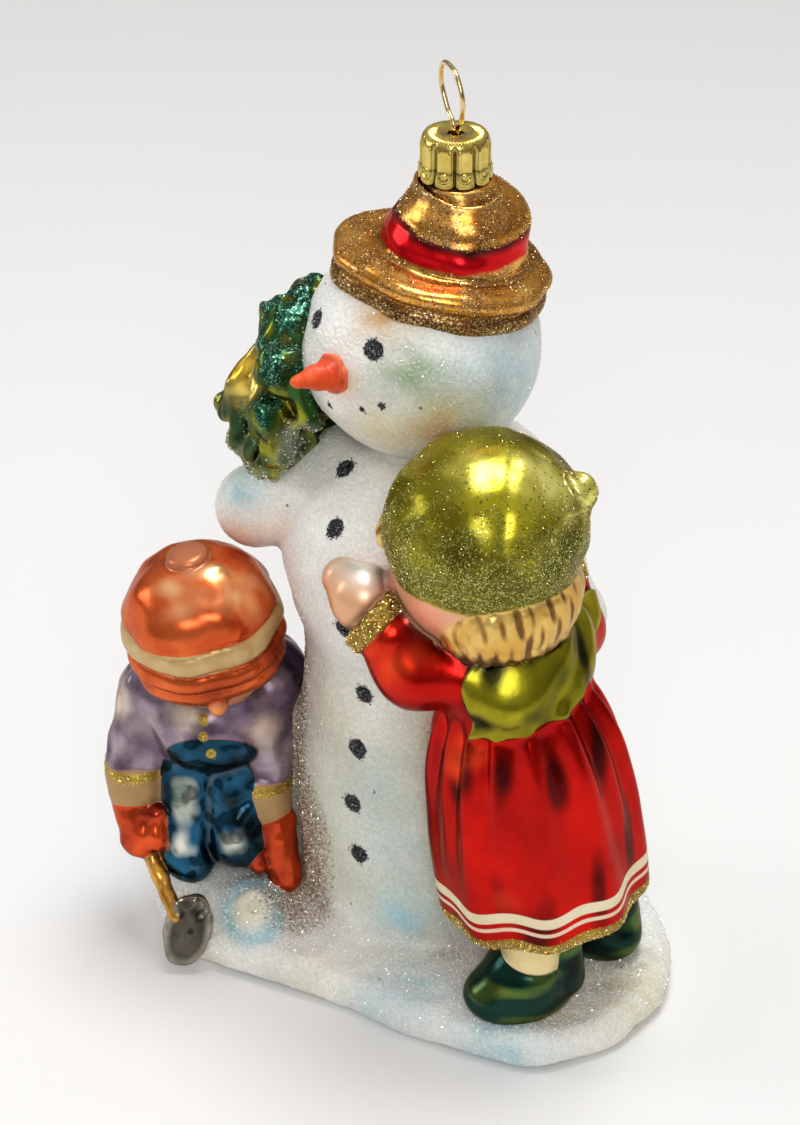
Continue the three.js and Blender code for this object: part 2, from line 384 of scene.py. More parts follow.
def skin(figure):
    """Corners, quads and outward directions of a figure's surface."""
    low, values = sampled(figure)
    inside = values < 0
    places, number = net_corners(values, inside)
    quads = net_quads(inside, number)
    verts = (low + figure.cell * places).astype(np.float32)
    for pull in (0.0, 0.5, 0.0):
        if pull:
            verts = relaxed(verts, quads, pull)
        value, gradient = figure.slope(verts)
        size = np.maximum(np.einsum("ij,ij->i", gradient, gradient), 0.3)
        step = np.clip(value / size, -figure.cell, figure.cell)
        verts = verts - gradient * step[:, None]
    _, gradient = figure.slope(verts)
    normals = gradient / np.maximum(np.linalg.norm(gradient, axis=1), 1e-6)[:, None]
    return verts, quads, normals


def relaxed(verts, quads, pull):
    """Moves each corner towards the middle of its neighbours."""
    total = np.zeros(verts.shape)
    count = np.zeros(len(verts))
    for i in range(4):
        for j in ((i + 1) % 4, (i + 3) % 4):
            for axis in range(3):
                total[:, axis] += np.bincount(quads[:, i], verts[quads[:, j], axis], len(verts))
            count += np.bincount(quads[:, i], minlength=len(verts))
    return (verts + pull * (total / count[:, None] - verts)).astype(np.float32)


def hollows(figure, verts, normals):
    """How deep each place lies in a crease, and how far it stands out on a ridge, from 0 to 1. The finishes
    paint shade in the creases and highlights on the ridges from these.
    """
    deep = sum((reach - figure.distance(verts + normals * reach)) / reach for reach in (0.8, 2.0)) / 2
    ridge = sum((reach + figure.distance(verts - normals * reach)) / reach for reach in (0.8, 1.6)) / 2
    return clamped(deep), clamped(ridge)


def mesh_object(name, verts, faces, smooth=True):
    """A piece whose corners are given in millimetres."""
    mesh = bpy.data.meshes.new(name)
    faces = np.asarray(faces, np.int32)
    sides = faces.shape[1]
    mesh.vertices.add(len(verts))
    mesh.vertices.foreach_set("co", (np.asarray(verts, np.float64) * MM).astype(np.float32).ravel())
    mesh.loops.add(faces.size)
    mesh.loops.foreach_set("vertex_index", faces.ravel())
    mesh.polygons.add(len(faces))
    mesh.polygons.foreach_set("loop_start", np.arange(0, faces.size, sides, dtype=np.int32))
    mesh.update(calc_edges=True)
    mesh.polygons.foreach_set("use_smooth", np.full(len(faces), smooth))
    piece = bpy.data.objects.new(name, mesh)
    bpy.context.collection.objects.link(piece)
    return piece


def give(piece, name, values):
    """Stores one number, or one colour, for each corner."""
    values = np.asarray(values, np.float32)
    if values.ndim == 1:
        piece.data.attributes.new(name, "FLOAT", "POINT").data.foreach_set("value", values)
    else:
        colour = np.concatenate([values, np.ones((len(values), 1), np.float32)], 1)
        piece.data.attributes.new(name, "FLOAT_COLOR", "POINT").data.foreach_set("color", colour.ravel())


def finished(piece, node, material=None):
    """Says what a piece stands for, and gives it its finish."""
    if material:
        piece.data.materials.clear()
        piece.data.materials.append(material)
    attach(piece, "root")
    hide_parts(node)
    return piece


def cast(name, figure, marks):
    """Skins a figure and stores its paints, its marks and its creases on the skin."""
    verts, quads, normals = skin(figure)
    piece = mesh_object(name, figure.placed(verts), quads)
    depths = figure.covers(figure.paints(verts)[1])
    deep, ridge = hollows(figure, verts, normals)
    stored = {**depths, "deep": deep, "ridge": ridge, **marks(verts, normals, depths)}
    for mark, values in stored.items():
        give(piece, mark, np.clip(values, -DEEPEST_MARK, DEEPEST_MARK))
    return piece


# The patch of snow and the snowman

RIM = [
    (-31, -29), (-24, -33), (-16, -32.6), (-6, -30), (5, -28.4), (17, -27.6), (28, -25), (37, -21),
    (42, -12), (43, -1), (39.5, 9.5), (31, 17.5), (20, 23.5), (4, 26.5), (-12, 25.5), (-25, 21.5),
    (-35, 13.5), (-39, 2), (-39.5, -11), (-36.5, -22.5),
]
BODY = [
    (0, 3), (17, 3), (20, 8), (LOWER_RADIUS, 18), (LOWER_RADIUS, 34), (19.7, 45), (19.3, 54), (21.2, 61),
    (BELLY_RADIUS, 68.5), (21.4, 75), (18.4, 80.2), (12.6, 85.8), (0, BODY_TOP),
]
# Coal dots: place and radius
EYES = [((-9.6, -14.5, 107.8), 1.4), ((2.0, -16.5, 107.4), 1.5)]
MOUTH = [
    ((-12.4, -14.4, 99.9), 0.7), ((-9.6, -16, 98.3), 0.55), ((-5.2, -17.4, 96.9), 0.5),
    ((1, -17.9, 98.5), 0.5), ((4.1, -17.2, 99.9), 0.75),
]
BUTTONS = [
    ((-5.9, -12.9, 84.3), 1.6), ((-3, -19.2, 78.6), 1.5), ((0.6, -22.2, 64.4), 1.5),
    ((1.9, -19.4, 52.2), 1.45), ((1.2, -20, 42.7), 1.55), ((0.7, -20.8, 33), 1.5),
    ((1.9, -20.6, 24.2), 1.45),
]
COAL = EYES + MOUTH + BUTTONS


def snow_figure(cell):
    parts = [
        ("snow", 2, slab(RIM, BASE_THICKNESS, 2.6)),
        ("snow", 3, ball((0, -1, 3.5), (27, 24, 7))),
        ("snow", 3, ball((-24, -19, 3.6), (14.5, 11.5, 7.9))),
        ("snow", 2, ball((-16.2, -24, 6), (6.8, 6, 6.4))),
        ("snow", 3, ball((-29, -4, 4), (8, 13, 6.6))),
        ("snow", 3, ball((14, -20, 3.2), (13, 6, 5.2))),
        ("snow", 2.4, turned(BODY)),
        ("snow", 2, limb((-20.5, -7, 8), (-19.6, -9.4, 36), 9, 6)),
        ("snow", 1.4, ball(HEAD_AT, HEAD_RADII)),
        ("snow", 1.6, limb((-11.5, -6, 77.5), (-23.4, -12.8, 72.4), 8.5, 6.3)),
        ("snow", 1.8, limb((13, 3, 72), (17.3, 9.4, 58), 7.2, 6.4)),
    ]

    def relief(q, cover):
        low = clamped((12 - q[:, 2]) / 6)
        waves = 0.16 * ripple(q, 13, 1) + 0.07 * ripple(q, 4.5, 2) + 0.02 * ripple(q, 1.5, 3)
        swirl = 0.5 * np.cos(np.hypot(q[:, 0] + 14, q[:, 1] + 27) * 1.7) * near(q, (-14, -27, 10), 5)
        return waves * (1 + low) + swirl

    def cut(points, whole):
        return np.maximum(whole, -points[:, 2])

    return Figure(parts, (-42, -36, -1), (46, 29, 120), cell, relief, cut=cut)


# Soft paints on the snow: place, radius, colour, strength, and the radius of a ring if it is one
BLUE = (0.42, 0.66, 0.74)
TEAL = (0.3, 0.4, 0.24)
CREAM = (0.72, 0.66, 0.38)
PEACH = (0.84, 0.52, 0.28)
BROWN = (0.3, 0.22, 0.13)
SAGE = (0.5, 0.51, 0.35)
SNOW_TINTS = [
    ((7.7, -15.7, 105), 4.2, TEAL, 0.95, 0), ((10.6, -13.8, 104), 3.4, TEAL, 0.5, 0),
    ((3, -16, 94), 6, CREAM, 0.7, 0), ((10.5, -13.6, 98), 4, CREAM, 0.6, 0),
    ((-9, -14, 93), 5, CREAM, 0.35, 0), ((3.6, -17.2, 102), 3, TEAL, 0.3, 0),
    ((15, -5, 104.5), 7, BLUE, 0.5, 0), ((15.6, 0, 98), 8, BLUE, 0.4, 0),
    ((10, -12.9, 95.2), 3.3, PEACH, 0.9, 0), ((-22.8, -17.4, 77.2), 3.6, BLUE, 0.8, 0),
    ((-22, -18.6, 70.8), 4.2, PEACH, 0.5, 0), ((-14.5, -15.6, 72.5), 4, PEACH, 0.3, 0),
    ((8, -19.5, 66), 6, PEACH, 0.3, 0), ((14, -15, 45), 7, SAGE, 0.8, 0), ((14, -16, 58), 7, SAGE, 0.7, 0),
    ((14, -17, 30), 8, SAGE, 0.6, 0), ((-6, -19, 46), 7, CREAM, 0.35, 0), ((12, -20, 12), 6, SAGE, 0.5, 0),
    ((1.5, -13.6, 112.6), 4.5, (0.62, 0.36, 0.12), 0.85, 0), ((-2.6, -18.4, 102), 3, PEACH, 0.5, 0),
    ((8.5, -19, 14.5), 4.6, BLUE, 0.85, 0), ((5.5, -20, 37), 6, BLUE, 0.3, 0),
    ((8, -19, 27), 6, BLUE, 0.4, 0), ((15.9, -23.6, 6), 4.6, BLUE, 0.7, 0), ((31, -24, 4), 7, BLUE, 0.7, 0),
    ((10, -28, 4), 5, BLUE, 0.5, 0), ((41, -2, 4), 9, CREAM, 0.6, 0), ((34, -15, 7), 4, PEACH, 0.4, 0),
    ((25, -21, 7), 4, BROWN, 0.25, 0), ((-14, -27.4, 10.3), 1.4, (0.3, 0.6, 0.72), 1, 4.4),
    ((-14.4, -28, 10.3), 3, CREAM, 0.7, 0), ((0, -32, 5), 6, CREAM, 0.5, 0),
    ((-22, -32, 4), 6, CREAM, 0.4, 0), ((24, 10, 6), 8, BLUE, 0.4, 0),
    ((14.5, -15, 8), 3.4, BROWN, 0.35, 0), ((37, 4, 7), 4, BROWN, 0.25, 0),
    ((-8, 22, 6), 9, CREAM, 0.35, 0), ((-32, 8, 6), 8, BLUE, 0.4, 0), ((0, 20.5, 40), 9, BLUE, 0.25, 0),
    ((6, 21, 70), 8, PEACH, 0.2, 0), ((-10, 13.5, 103), 8, BLUE, 0.35, 0),
    ((17, 10, 58), 6, CREAM, 0.35, 0),
]
# The dusty crease beside the boy, from the base upwards
CREASE = [
    (-11.4, -20.5, 9), (-9.4, -19.2, 14), (-9.9, -18.6, 24), (-14.6, -14.4, 31), (-16.4, -12.1, 40),
    (-17.5, -9.5, 52),
]


def blended(colours, tint, share):
    """Colours moved towards a tint by each point's share, from 0 to 1."""
    share = share[:, None]
    return colours * (1 - share) + np.array(tint, np.float32) * share


def snow_marks(q, normals, depths):
    colour = np.full((len(q), 3), (0.91, 0.91, 0.87), np.float32)
    colour *= (1 + 0.05 * ripple(q, 9, 11))[:, None]
    lower = 0.52 * clamped((62 - q[:, 2]) / 26) * clamped((q[:, 2] - 9) / 8)
    colour = blended(colour, SAGE, lower * (1 + 0.3 * ripple(q, 11, 16)))
    for centre, radius, tint, strength, ring in SNOW_TINTS:
        gap = np.linalg.norm(q - np.array(centre, np.float32), axis=1)
        fade = strength * np.exp(-((gap - ring) / radius) ** 2)
        colour = blended(colour, tint, clamped(fade * (1 + 0.35 * ripple(q, 3.5, 12))))
    crease = np.zeros(len(q), np.float32)
    for a, b in zip(CREASE, CREASE[1:]):
        crease = np.maximum(crease, clamped(1.35 - limb(a, b, 1, 1)(q) / 4.6))
    crease = clamped(crease * (1 + 0.35 * ripple(q, 4, 13)))
    colour = blended(colour, BROWN, 0.7 * crease)
    coal = np.full(len(q), -DEEPEST_MARK, np.float32)
    for centre, radius in COAL:
        coal = np.maximum(coal, radius - np.linalg.norm(q - np.array(centre, np.float32), axis=1))
    coal += 0.14 * ripple(q, 1.1, 14)
    top = np.clip(normals[:, 2] + 0.55, 0.15, 1)
    frost = np.clip((0.55 + 0.35 * ripple(q, 7, 15)) * top + 1.1 * crease, 0.05, 1.5)
    frost *= clamped(q[:, 2] / 2) * (coal < -0.2)
    grains = clamped((13 - q[:, 2]) / 4 + 0.5 * ripple(q, 6, 17)) * clamped(normals[:, 2] + 0.5)
    return {"paint": colour, "coal": coal, "frost": frost, "crease": crease, "grains": grains}


# The snowman's hat

def on_brim(q):
    """Points in the frame of the hat's tilted brim."""
    return (q - np.array(HAT_AT, np.float32)) @ turn_matrix(HAT_TURN).astype(np.float32)


def hat_figure(cell):
    brim = [
        (0, -4.2), (12.8, -4.2), (14.6, -3.8), (15.3, -2.9), (15.2, -1.9), (14.9, -1.1), (15.5, -0.1),
        (BRIM_RADIUS, 0.9), (14.9, 1.8), (13.3, 2.2), (11.4, 2.45), (0, 2.6),
    ]
    band = [(0, -2), (10.5, -2), (10.5, 2.8), (10.3, 4.4), (9.5, 6.4), (0, 6.6)]
    neck = [
        (0, 116), (7.6, 123), (6, 125.6), (5.4, 126.9), (NECK_RADIUS, 126.9), (NECK_RADIUS, NECK_TOP),
        (0, NECK_TOP),
    ]

    def wavy(angle, height):
        return 1 + 0.02 * np.cos(3 * angle + 0.6) + 0.006 * np.cos(7 * angle + 2)

    parts = [
        ("felt", 1, turned(brim, HAT_AT, HAT_TURN, swell=wavy)),
        ("felt", 1, turned(band, (1.6, 1.3, 114.2), HAT_TURN, smooth=False)),
        ("felt", 1.2, ball((3.1, 2.4, 120.7), (9.4, 9.4, 6.2))),
        ("felt", 1.6, turned(neck, (*NECK_AT, 0), smooth=False)),
    ]
    bore = NECK_RADIUS - 1
    well = limb((*NECK_AT, NECK_TOP + 4), (*NECK_AT, NECK_TOP - NECK_WELL + 3), bore, bore)

    def relief(q, cover):
        x, y, rise = on_brim(q).T
        roll = 0.3 * np.exp(-((rise + 1) / 0.5) ** 2) * (np.hypot(x, y) > 13)
        gap = q - np.array((3.4, 1.6, 0), np.float32)
        ring = np.hypot(gap[:, 0], gap[:, 1])
        fold = 0.8 * np.exp(-((ring - 5.5) / 0.5) ** 2) - 0.6 * np.exp(-((ring - 6.4) / 0.5) ** 2)
        fold = fold * clamped((q[:, 2] - 122.5) / 1.2) * clamped(0.5 - gap[:, 1] / 5)
        return roll + fold + 0.2 * ripple(q, 8, 21) + 0.04 * ripple(q, 2.8, 22)

    def cut(points, whole):
        return np.maximum(whole, -well(points))

    return Figure(parts, (-18, -18, 104), (20, 20, 134), cell, relief, cut=cut)


def hat_marks(q, normals, depths):
    height = on_brim(q)[:, 2]
    chance = ripple(q, 5, 31)
    rim = clamped((-0.6 - height) / 1.2) * (1 + 0.4 * chance)
    knot = 0.5 - np.linalg.norm(q - np.array((-1.1, -8.7, 118.2), np.float32), axis=1)
    across = 0.788 * (q[:, 0] - 1.6) + 0.616 * (q[:, 1] - 1.3)
    upper = 6.7 + 0.01 * across + 0.018 * across * across + 0.2 * ripple(q, 5, 33) - height
    lower = 3.4 + 0.2 * np.maximum(across - 1, 0) + 0.15 * ripple(q, 4, 34)
    ribbon = np.minimum(upper, height - lower)
    wine = clamped(1.1 - upper / 1.4 + 0.3 * ripple(q, 5, 35)) * (ribbon > -0.3)
    shade = spots(q, ((-4.8, 1.5, 121), 4.5, 1), ((1, -4, 127), 3, 0.8)) + 0.5 * ripple(q, 6, 32) - 0.2
    # bright: painted highlights on the dome and the brim, with fewer gold specks under them
    bright = spots(
        q, ((2.5, -0.1, 123.5), 5, 1), ((6.7, 8.3, 122.5), 5, 1), ((-10.1, -6.6, 115.5), 6, 1),
        ((5, -12, 115), 5, 0.7), ((14, 0.9, 113.5), 5, 0.7),
    ) * (1 + 0.4 * ripple(q, 4, 36))
    gold = np.clip(0.8 + 0.5 * chance + 0.4 * rim - 0.5 * bright, 0.15, 1.2)
    gold *= (q[:, 2] < 127) * clamped(0.2 - ribbon / 0.4)
    return {
        "gold": gold, "rim": rim, "knot": knot, "shade": clamped(shade), "bright": clamped(bright),
        "wine": wine, "ribbon": ribbon,
    }


# The fir tree: rings of drooping boughs by height of the tip, reach, drop, half width, count and first angle

FIR_TIERS = [
    (1.5, 6.6, 9, 3.2, 5, 0.5), (8.0, 8.0, 10, 3.5, 5, 1.2), (16.0, 6.6, 10, 3.2, 5, 0.3),
    (23.5, 4.4, 8, 2.6, 4, 0.9),
]
# The big boughs of the front, as rods with round ends: start, end and the two radii
FIR_BOUGHS = [
    ((-15.8, -7.3, 108.6), (-16.3, -12.4, 104.7), 1.7, 4.1),
    ((-16.3, -12.4, 104.7), (-17.1, -15.4, 101.3), 4.1, 2.8),
    ((-16, -12.6, 100.5), (-14.9, -17.4, 99.4), 3.6, 3.3),
    ((-14.4, -16, 97.5), (-10.4, -13.8, 91.2), 2.9, 1.4),
    ((-15.4, -14, 97.4), (-12.6, -12.4, 92), 2.6, 2.6), ((-16.6, -15, 94.5), (-16.1, -18, 92.4), 3.6, 3.4),
    ((-17.4, -18, 91), (-18.5, -19.2, 85.7), 1.9, 1.3), ((-15.6, -18.6, 91), (-16, -18.6, 85.6), 1.9, 1.4),
    ((-13.8, -17, 91), (-14, -17.2, 86), 2, 1.5), ((-21, -11.5, 97), (-23.1, -14, 93.4), 3, 3.1),
    ((-22.8, -15, 91), (-22.2, -17, 85.6), 2.2, 1.6), ((-17.2, -15.6, 86), (-17.2, -16.6, 83.4), 3.2, 2.8),
]
TALL_GRAIN = np.array((1, 1, 0.45), np.float32)


def fir_figure(cell):
    foot, tip = np.array(TREE_FOOT), np.array(TREE_TIP)
    stem = toward_matrix(TREE_FOOT, TREE_TIP)
    length = float(np.linalg.norm(tip - foot))
    core = [(0, 1), (4, 1.5), (5.4, 8), (4.6, 17), (3.4, 26), (0, length - 1)]
    parts = [("bough", 0.6, turned(core, foot, matrix=stem))]
    for low, reach, drop, wide, count, phase in FIR_TIERS:
        for i in range(count):
            angle = phase + 2 * math.pi * i / count
            side = np.array((math.cos(angle), math.sin(angle), 0))
            faces_front = side[0] * 0.3 - side[1] > 0.35
            if faces_front:
                continue
            shift = 1.2 * math.cos(2.4 * i + phase)
            outer = foot + stem @ (side * reach + np.array((0, 0, low + shift)))
            inner = foot + stem @ (side * 1.0 + np.array((0, 0, low + drop + shift)))
            lay = toward_matrix(inner, outer)
            half = float(np.linalg.norm(outer - inner)) * 0.58
            parts.append(("bough", 0.5, ball(outer * 0.56 + inner * 0.44, (wide, wide, half), matrix=lay)))
            parts.append(("bough", 0.8, limb(outer * 0.8 + inner * 0.2, outer, wide * 0.8, wide * 0.42)))
    parts.append(("bough", 0.8, limb(foot + stem @ np.array((0, 0, 25)), tip - stem[:, 2] * 2.2, 3.4, 2.2)))
    for start, end, start_radius, end_radius in FIR_BOUGHS:
        parts.append(("bough", 0.7, limb(start, end, start_radius, end_radius)))

    def relief(q, cover):
        along = (q - foot.astype(np.float32)) @ stem.astype(np.float32)
        angle = np.arctan2(along[:, 1], along[:, 0])
        spread = clamped(np.hypot(along[:, 0], along[:, 1]) / 6)
        fingers = 0.3 * np.sin(11 * angle + 0.35 * along[:, 2]) * spread
        return 0.34 * ripple(q, 4.2, 41) + fingers + 0.3 * ripple(q * TALL_GRAIN, 2.4, 42)

    return Figure(parts, (-36, -26, 72), (-3, 2, 114), cell, relief)


def fir_marks(q, normals, depths):
    yellow = clamped(spots(q, ((-21.4, -16.2, 97.4), 3.2, 1), ((-21.4, -17.2, 94.4), 3.2, 1)))
    grit = clamped(spots(
        q, ((-15.4, -11, 102.6), 2.6, 1), ((-11.9, -16.7, 88.4), 3, 1), ((-12, -14, 86), 3, 1)
    ))
    foot = clamped((84.6 - q[:, 2]) / 3 + 0.3 * ripple(q, 3, 44))
    lime = 0.1 - 0.8 * normals[:, 2] + 1.3 * ripple(q * np.array((1, 1, 0.5), np.float32), 2.6, 46)
    lime = clamped(lime + spots(q, ((-13, -17, 95), 4, 0.5), ((-16, -19, 87), 4, 0.5)))
    tops = spots(q, ((-16, -12.5, 107), 4.2, 1), ((-13.6, -19.5, 101.5), 2.6, 1), ((-14, -20.5, 95), 2.6, 1))
    teal = 0.6 * normals[:, 2] + tops + 0.6 * ripple(q, 3.4, 45) - 1.2 * yellow - foot - grit - 0.2
    return {
        "yellow": yellow, "grit": grit, "foot": foot, "teal": clamped(teal), "lime": lime,
        "frost": 1.2 * np.maximum(grit, 0.7 * foot),
    }


# The girl, in her own frame: she looks along -Y, and her left side is at +X

HEM = (1.6, -1.6, 23.2)
WAIST = (5.4, -4.2, 56.5)
GIRL_HEAD = (9.8, -8.2, 80.8)
GIRL_HAT = (9.2, -7.6, 86)


def skirt_swell(angle, height):
    lift = clamped(height / 34)
    wide = 0.034 * np.cos(9 * angle) + 0.014 * np.cos(5 * angle + 1)
    gathered = 0.06 * np.cos(15 * angle + 1.1 * np.sin(3 * angle)) * lift ** 1.5
    return 1 + wide * (1 - 0.4 * lift) + gathered


def skirt_place(q):
    """Height over the hem, distance from the skirt's own axis, and angle round it."""
    along = (q - np.array(HEM, np.float32)) @ toward_matrix(HEM, WAIST).astype(np.float32)
    angle = np.arctan2(along[:, 1], along[:, 0])
    return along[:, 2], np.hypot(along[:, 0], along[:, 1]), angle


def shawl_area(q):
    """How far inside the shawl's outline a point of the girl's back is."""
    height = skirt_place(q)[0]
    edge = q[:, 1] + 4.2 + 0.5 * np.sin(q[:, 2] * 0.5)
    hem = height - 35.4 - 0.13 * (16 - q[:, 0]) - 0.4 * np.sin(q[:, 0] * 0.7)
    return np.minimum(edge, hem)


def hair_strands(q):
    """Uneven strands that hang down around the girl's head, from -1 to 1."""
    head = q - np.array(GIRL_HEAD, np.float32)
    around = np.arctan2(head[:, 1], head[:, 0])
    combed = np.stack([11 * np.cos(around), 11 * np.sin(around), 0.35 * q[:, 2]], 1)
    return ripple(combed.astype(np.float32), 1.5, 59)


def girl_figure(cell):
    drape = [
        (0, 0.6), (12.4, 0.2), (14.4, -0.7), (15.3, 0.5), (15.5, 8), (15, 17), (14, 25), (12.2, 31.4),
        (10.2, 35.6), (8, 38.6), (0, 39.6),
    ]
    skirt = turned(drape, HEM, matrix=toward_matrix(HEM, WAIST), swell=skirt_swell)
    ring = [(0, -1.3), (5.1, -1.3), (5.5, 0), (5.1, 1.3), (0, 1.3)]
    wrist, knuckles = (19.7, -18.4, 72.2), (19.9, -19.2, 72.8)

    def boot(x, y, turn):
        return [
            ("boot", 1.4, ball((x, y, 9.2), (6, 8.6, 4.9), (0, 0, turn))),
            ("boot", 2.4, ball((x - 0.6, y + 0.8, 12.8), (6.2, 6.2, 5.4), (0, 0, turn))),
        ]

    parts = [
        ("dress", 0.9, skirt),
        ("dress", 2, ball((6.6, -5.4, 60.5), (10.2, 8.4, 10))),
        ("dress", 1.2, ball((5.6, -1.6, 62), (11, 6.8, 9.8), (10, 0, 0))),
        ("skin", 1, ball(GIRL_HEAD, (12.6, 12.2, 12))),
        ("skin", 0.8, ball((10.4, -20, 79.4), (1.5, 1.8, 1.4))),
        ("skin", 1.2, ball((15.6, -16.4, 76.6), (3.4, 3.2, 3.4))),
        ("skin", 1.2, ball((5, -17.6, 76.6), (3.4, 3.2, 3.4))),
        ("hair", 0.7, ball((8.8, -4.2, 76.4), (12.4, 10.4, 9), (10, 0, 8))),
        ("hair", 0.7, ball((10.4, -18.6, 84.4), (8.4, 3.6, 3.4))),
        ("hat", 0.6, ball(GIRL_HAT, (14.6, 14.2, 13.6), (8, 0, 0))),
        ("hat", 3, limb((8, -3, 91.4), (4.9, 2.6, 92.8), 6.4, 2.7)),
        ("hat", 0.9, ball((3.9, 4.2, 93.2), (2.6, 2.4, 2.7))),
        ("dress", 2, limb((10.5, -5.5, 63.5), (17.6, -13.4, 65.2), 6.2, 5.8)),
        ("dress", 2, limb((17.6, -13.4, 65.2), (19.4, -16.4, 70.4), 5.8, 5)),
        ("cuff", 0.4, turned(ring, wrist, matrix=toward_matrix(wrist, knuckles))),
        ("skin", 0.6, ball((18.9, -21.1, 73.8), (4.5, 4.5, 4.6))),
        ("skin", 2.5, limb((19, -22.4, 74.6), (18.2, -25.8, 75.4), 4, 3)),
        ("dress", 2, limb((-2, -4, 64), (-11, -7, 60), 5.6, 5)),
        ("dress", 2, limb((-11, -7, 60), (-12, -10, 67), 5, 4.2)),
        ("cuff", 0.5, limb((-12, -10.2, 67.4), (-12, -10.8, 69.4), 4.5, 4.3)),
        ("skin", 0.6, ball((-12, -12.6, 72.4), (3, 4.4, 3.8), (-40, 0, 10))),
        *boot(9.4, 0, 55),
        *boot(-10.4, -0.6, 0),
        ("boot", 1, limb((5.6, 5.2, 12), (5.8, 4.8, 23), 3.4, 2.8)),
        ("stocking", 0.3, limb((8.9, 1.9, 17), (8.9, 1.9, 25), 4.5, 4.7)),
    ]

    def relief(q, cover):
        head = q - np.array(GIRL_HEAD, np.float32)
        locks = 0.22 * hair_strands(q) + 0.06 * ripple(q, 1.3, 56)
        edge = -0.5 * np.exp(-((head[:, 2] + 9.4) / 1.1) ** 2)
        crown = q - np.array((3.9, 4.2, 93.4), np.float32)
        gather = np.arctan2(crown[:, 0], crown[:, 2] + crown[:, 1])
        pleat = 0.3 * np.sin(7 * gather) * near(q, (5, 2, 93), 6.5)
        seam = 0.16 * np.exp(-((head @ np.array((0.55, -0.83, 0.1), np.float32) + 2.6) / 0.9) ** 2)
        folds = 0.3 * ripple(q * np.array((1, 1, 0.75), np.float32), 8.5, 51)
        sleeve = near(q, (15, -10, 65), 11) * clamped((q[:, 2] - 56) / 5)
        shawl = clamped(0.5 + shawl_area(q) / 0.7) * cover("dress")
        sag = 0.5 * np.sin(0.75 * q[:, 2] + 0.5 * q[:, 0] + 0.7 * np.sin(q[:, 1] * 0.4))
        wool = pleat + seam + 0.22 * ripple(q, 7, 52) + 0.05 * ripple(q, 3, 68)
        whole = cover("hair") * (locks + edge) + cover("hat") * wool
        whole += cover("dress") * (1 - shawl) * folds * (0.25 + sleeve)
        whole += shawl * (0.24 * ripple(q, 6.5, 53) + sag * 0.6 - 0.55)
        whole += cover("cuff") * 0.12 * ripple(q, 1.2, 54)
        whole += cover("boot") * 0.12 * ripple(q, 6, 55)
        return whole

    return Figure(parts, (-18, -30, 3), (27, 20, 101), cell, relief, at=GIRL_AT, turn=GIRL_TURN)


def dot_mark(q, centre, radii, turn=(0, 0, 0)):
    return -ball(centre, radii, turn)(q)


def pair_mark(q, centre, spread, radii, lean=0):
    """Two like dots, one to each side of a centre."""
    x, y, z = centre
    return np.maximum(*(dot_mark(q, (x + s * spread, y, z), radii, (0, s * lean, 0)) for s in (-1, 1)))


def face_marks(q, centre, spread, size, drop):
    """Two plain painted eyes, two brows and a small mouth, on a head that looks along -Y."""
    x, y, z = centre
    return {
        "eyes": pair_mark(q, centre, spread, (size, 4, size * 1.15)),
        "brows": pair_mark(q, (x, y, z + 2.4 * size), spread, (size * 1.5, 4, size * 0.4), 10),
        "mouth": dot_mark(q, (x, y, z - drop), (size * 1.5, 4, size * 0.55)),
    }


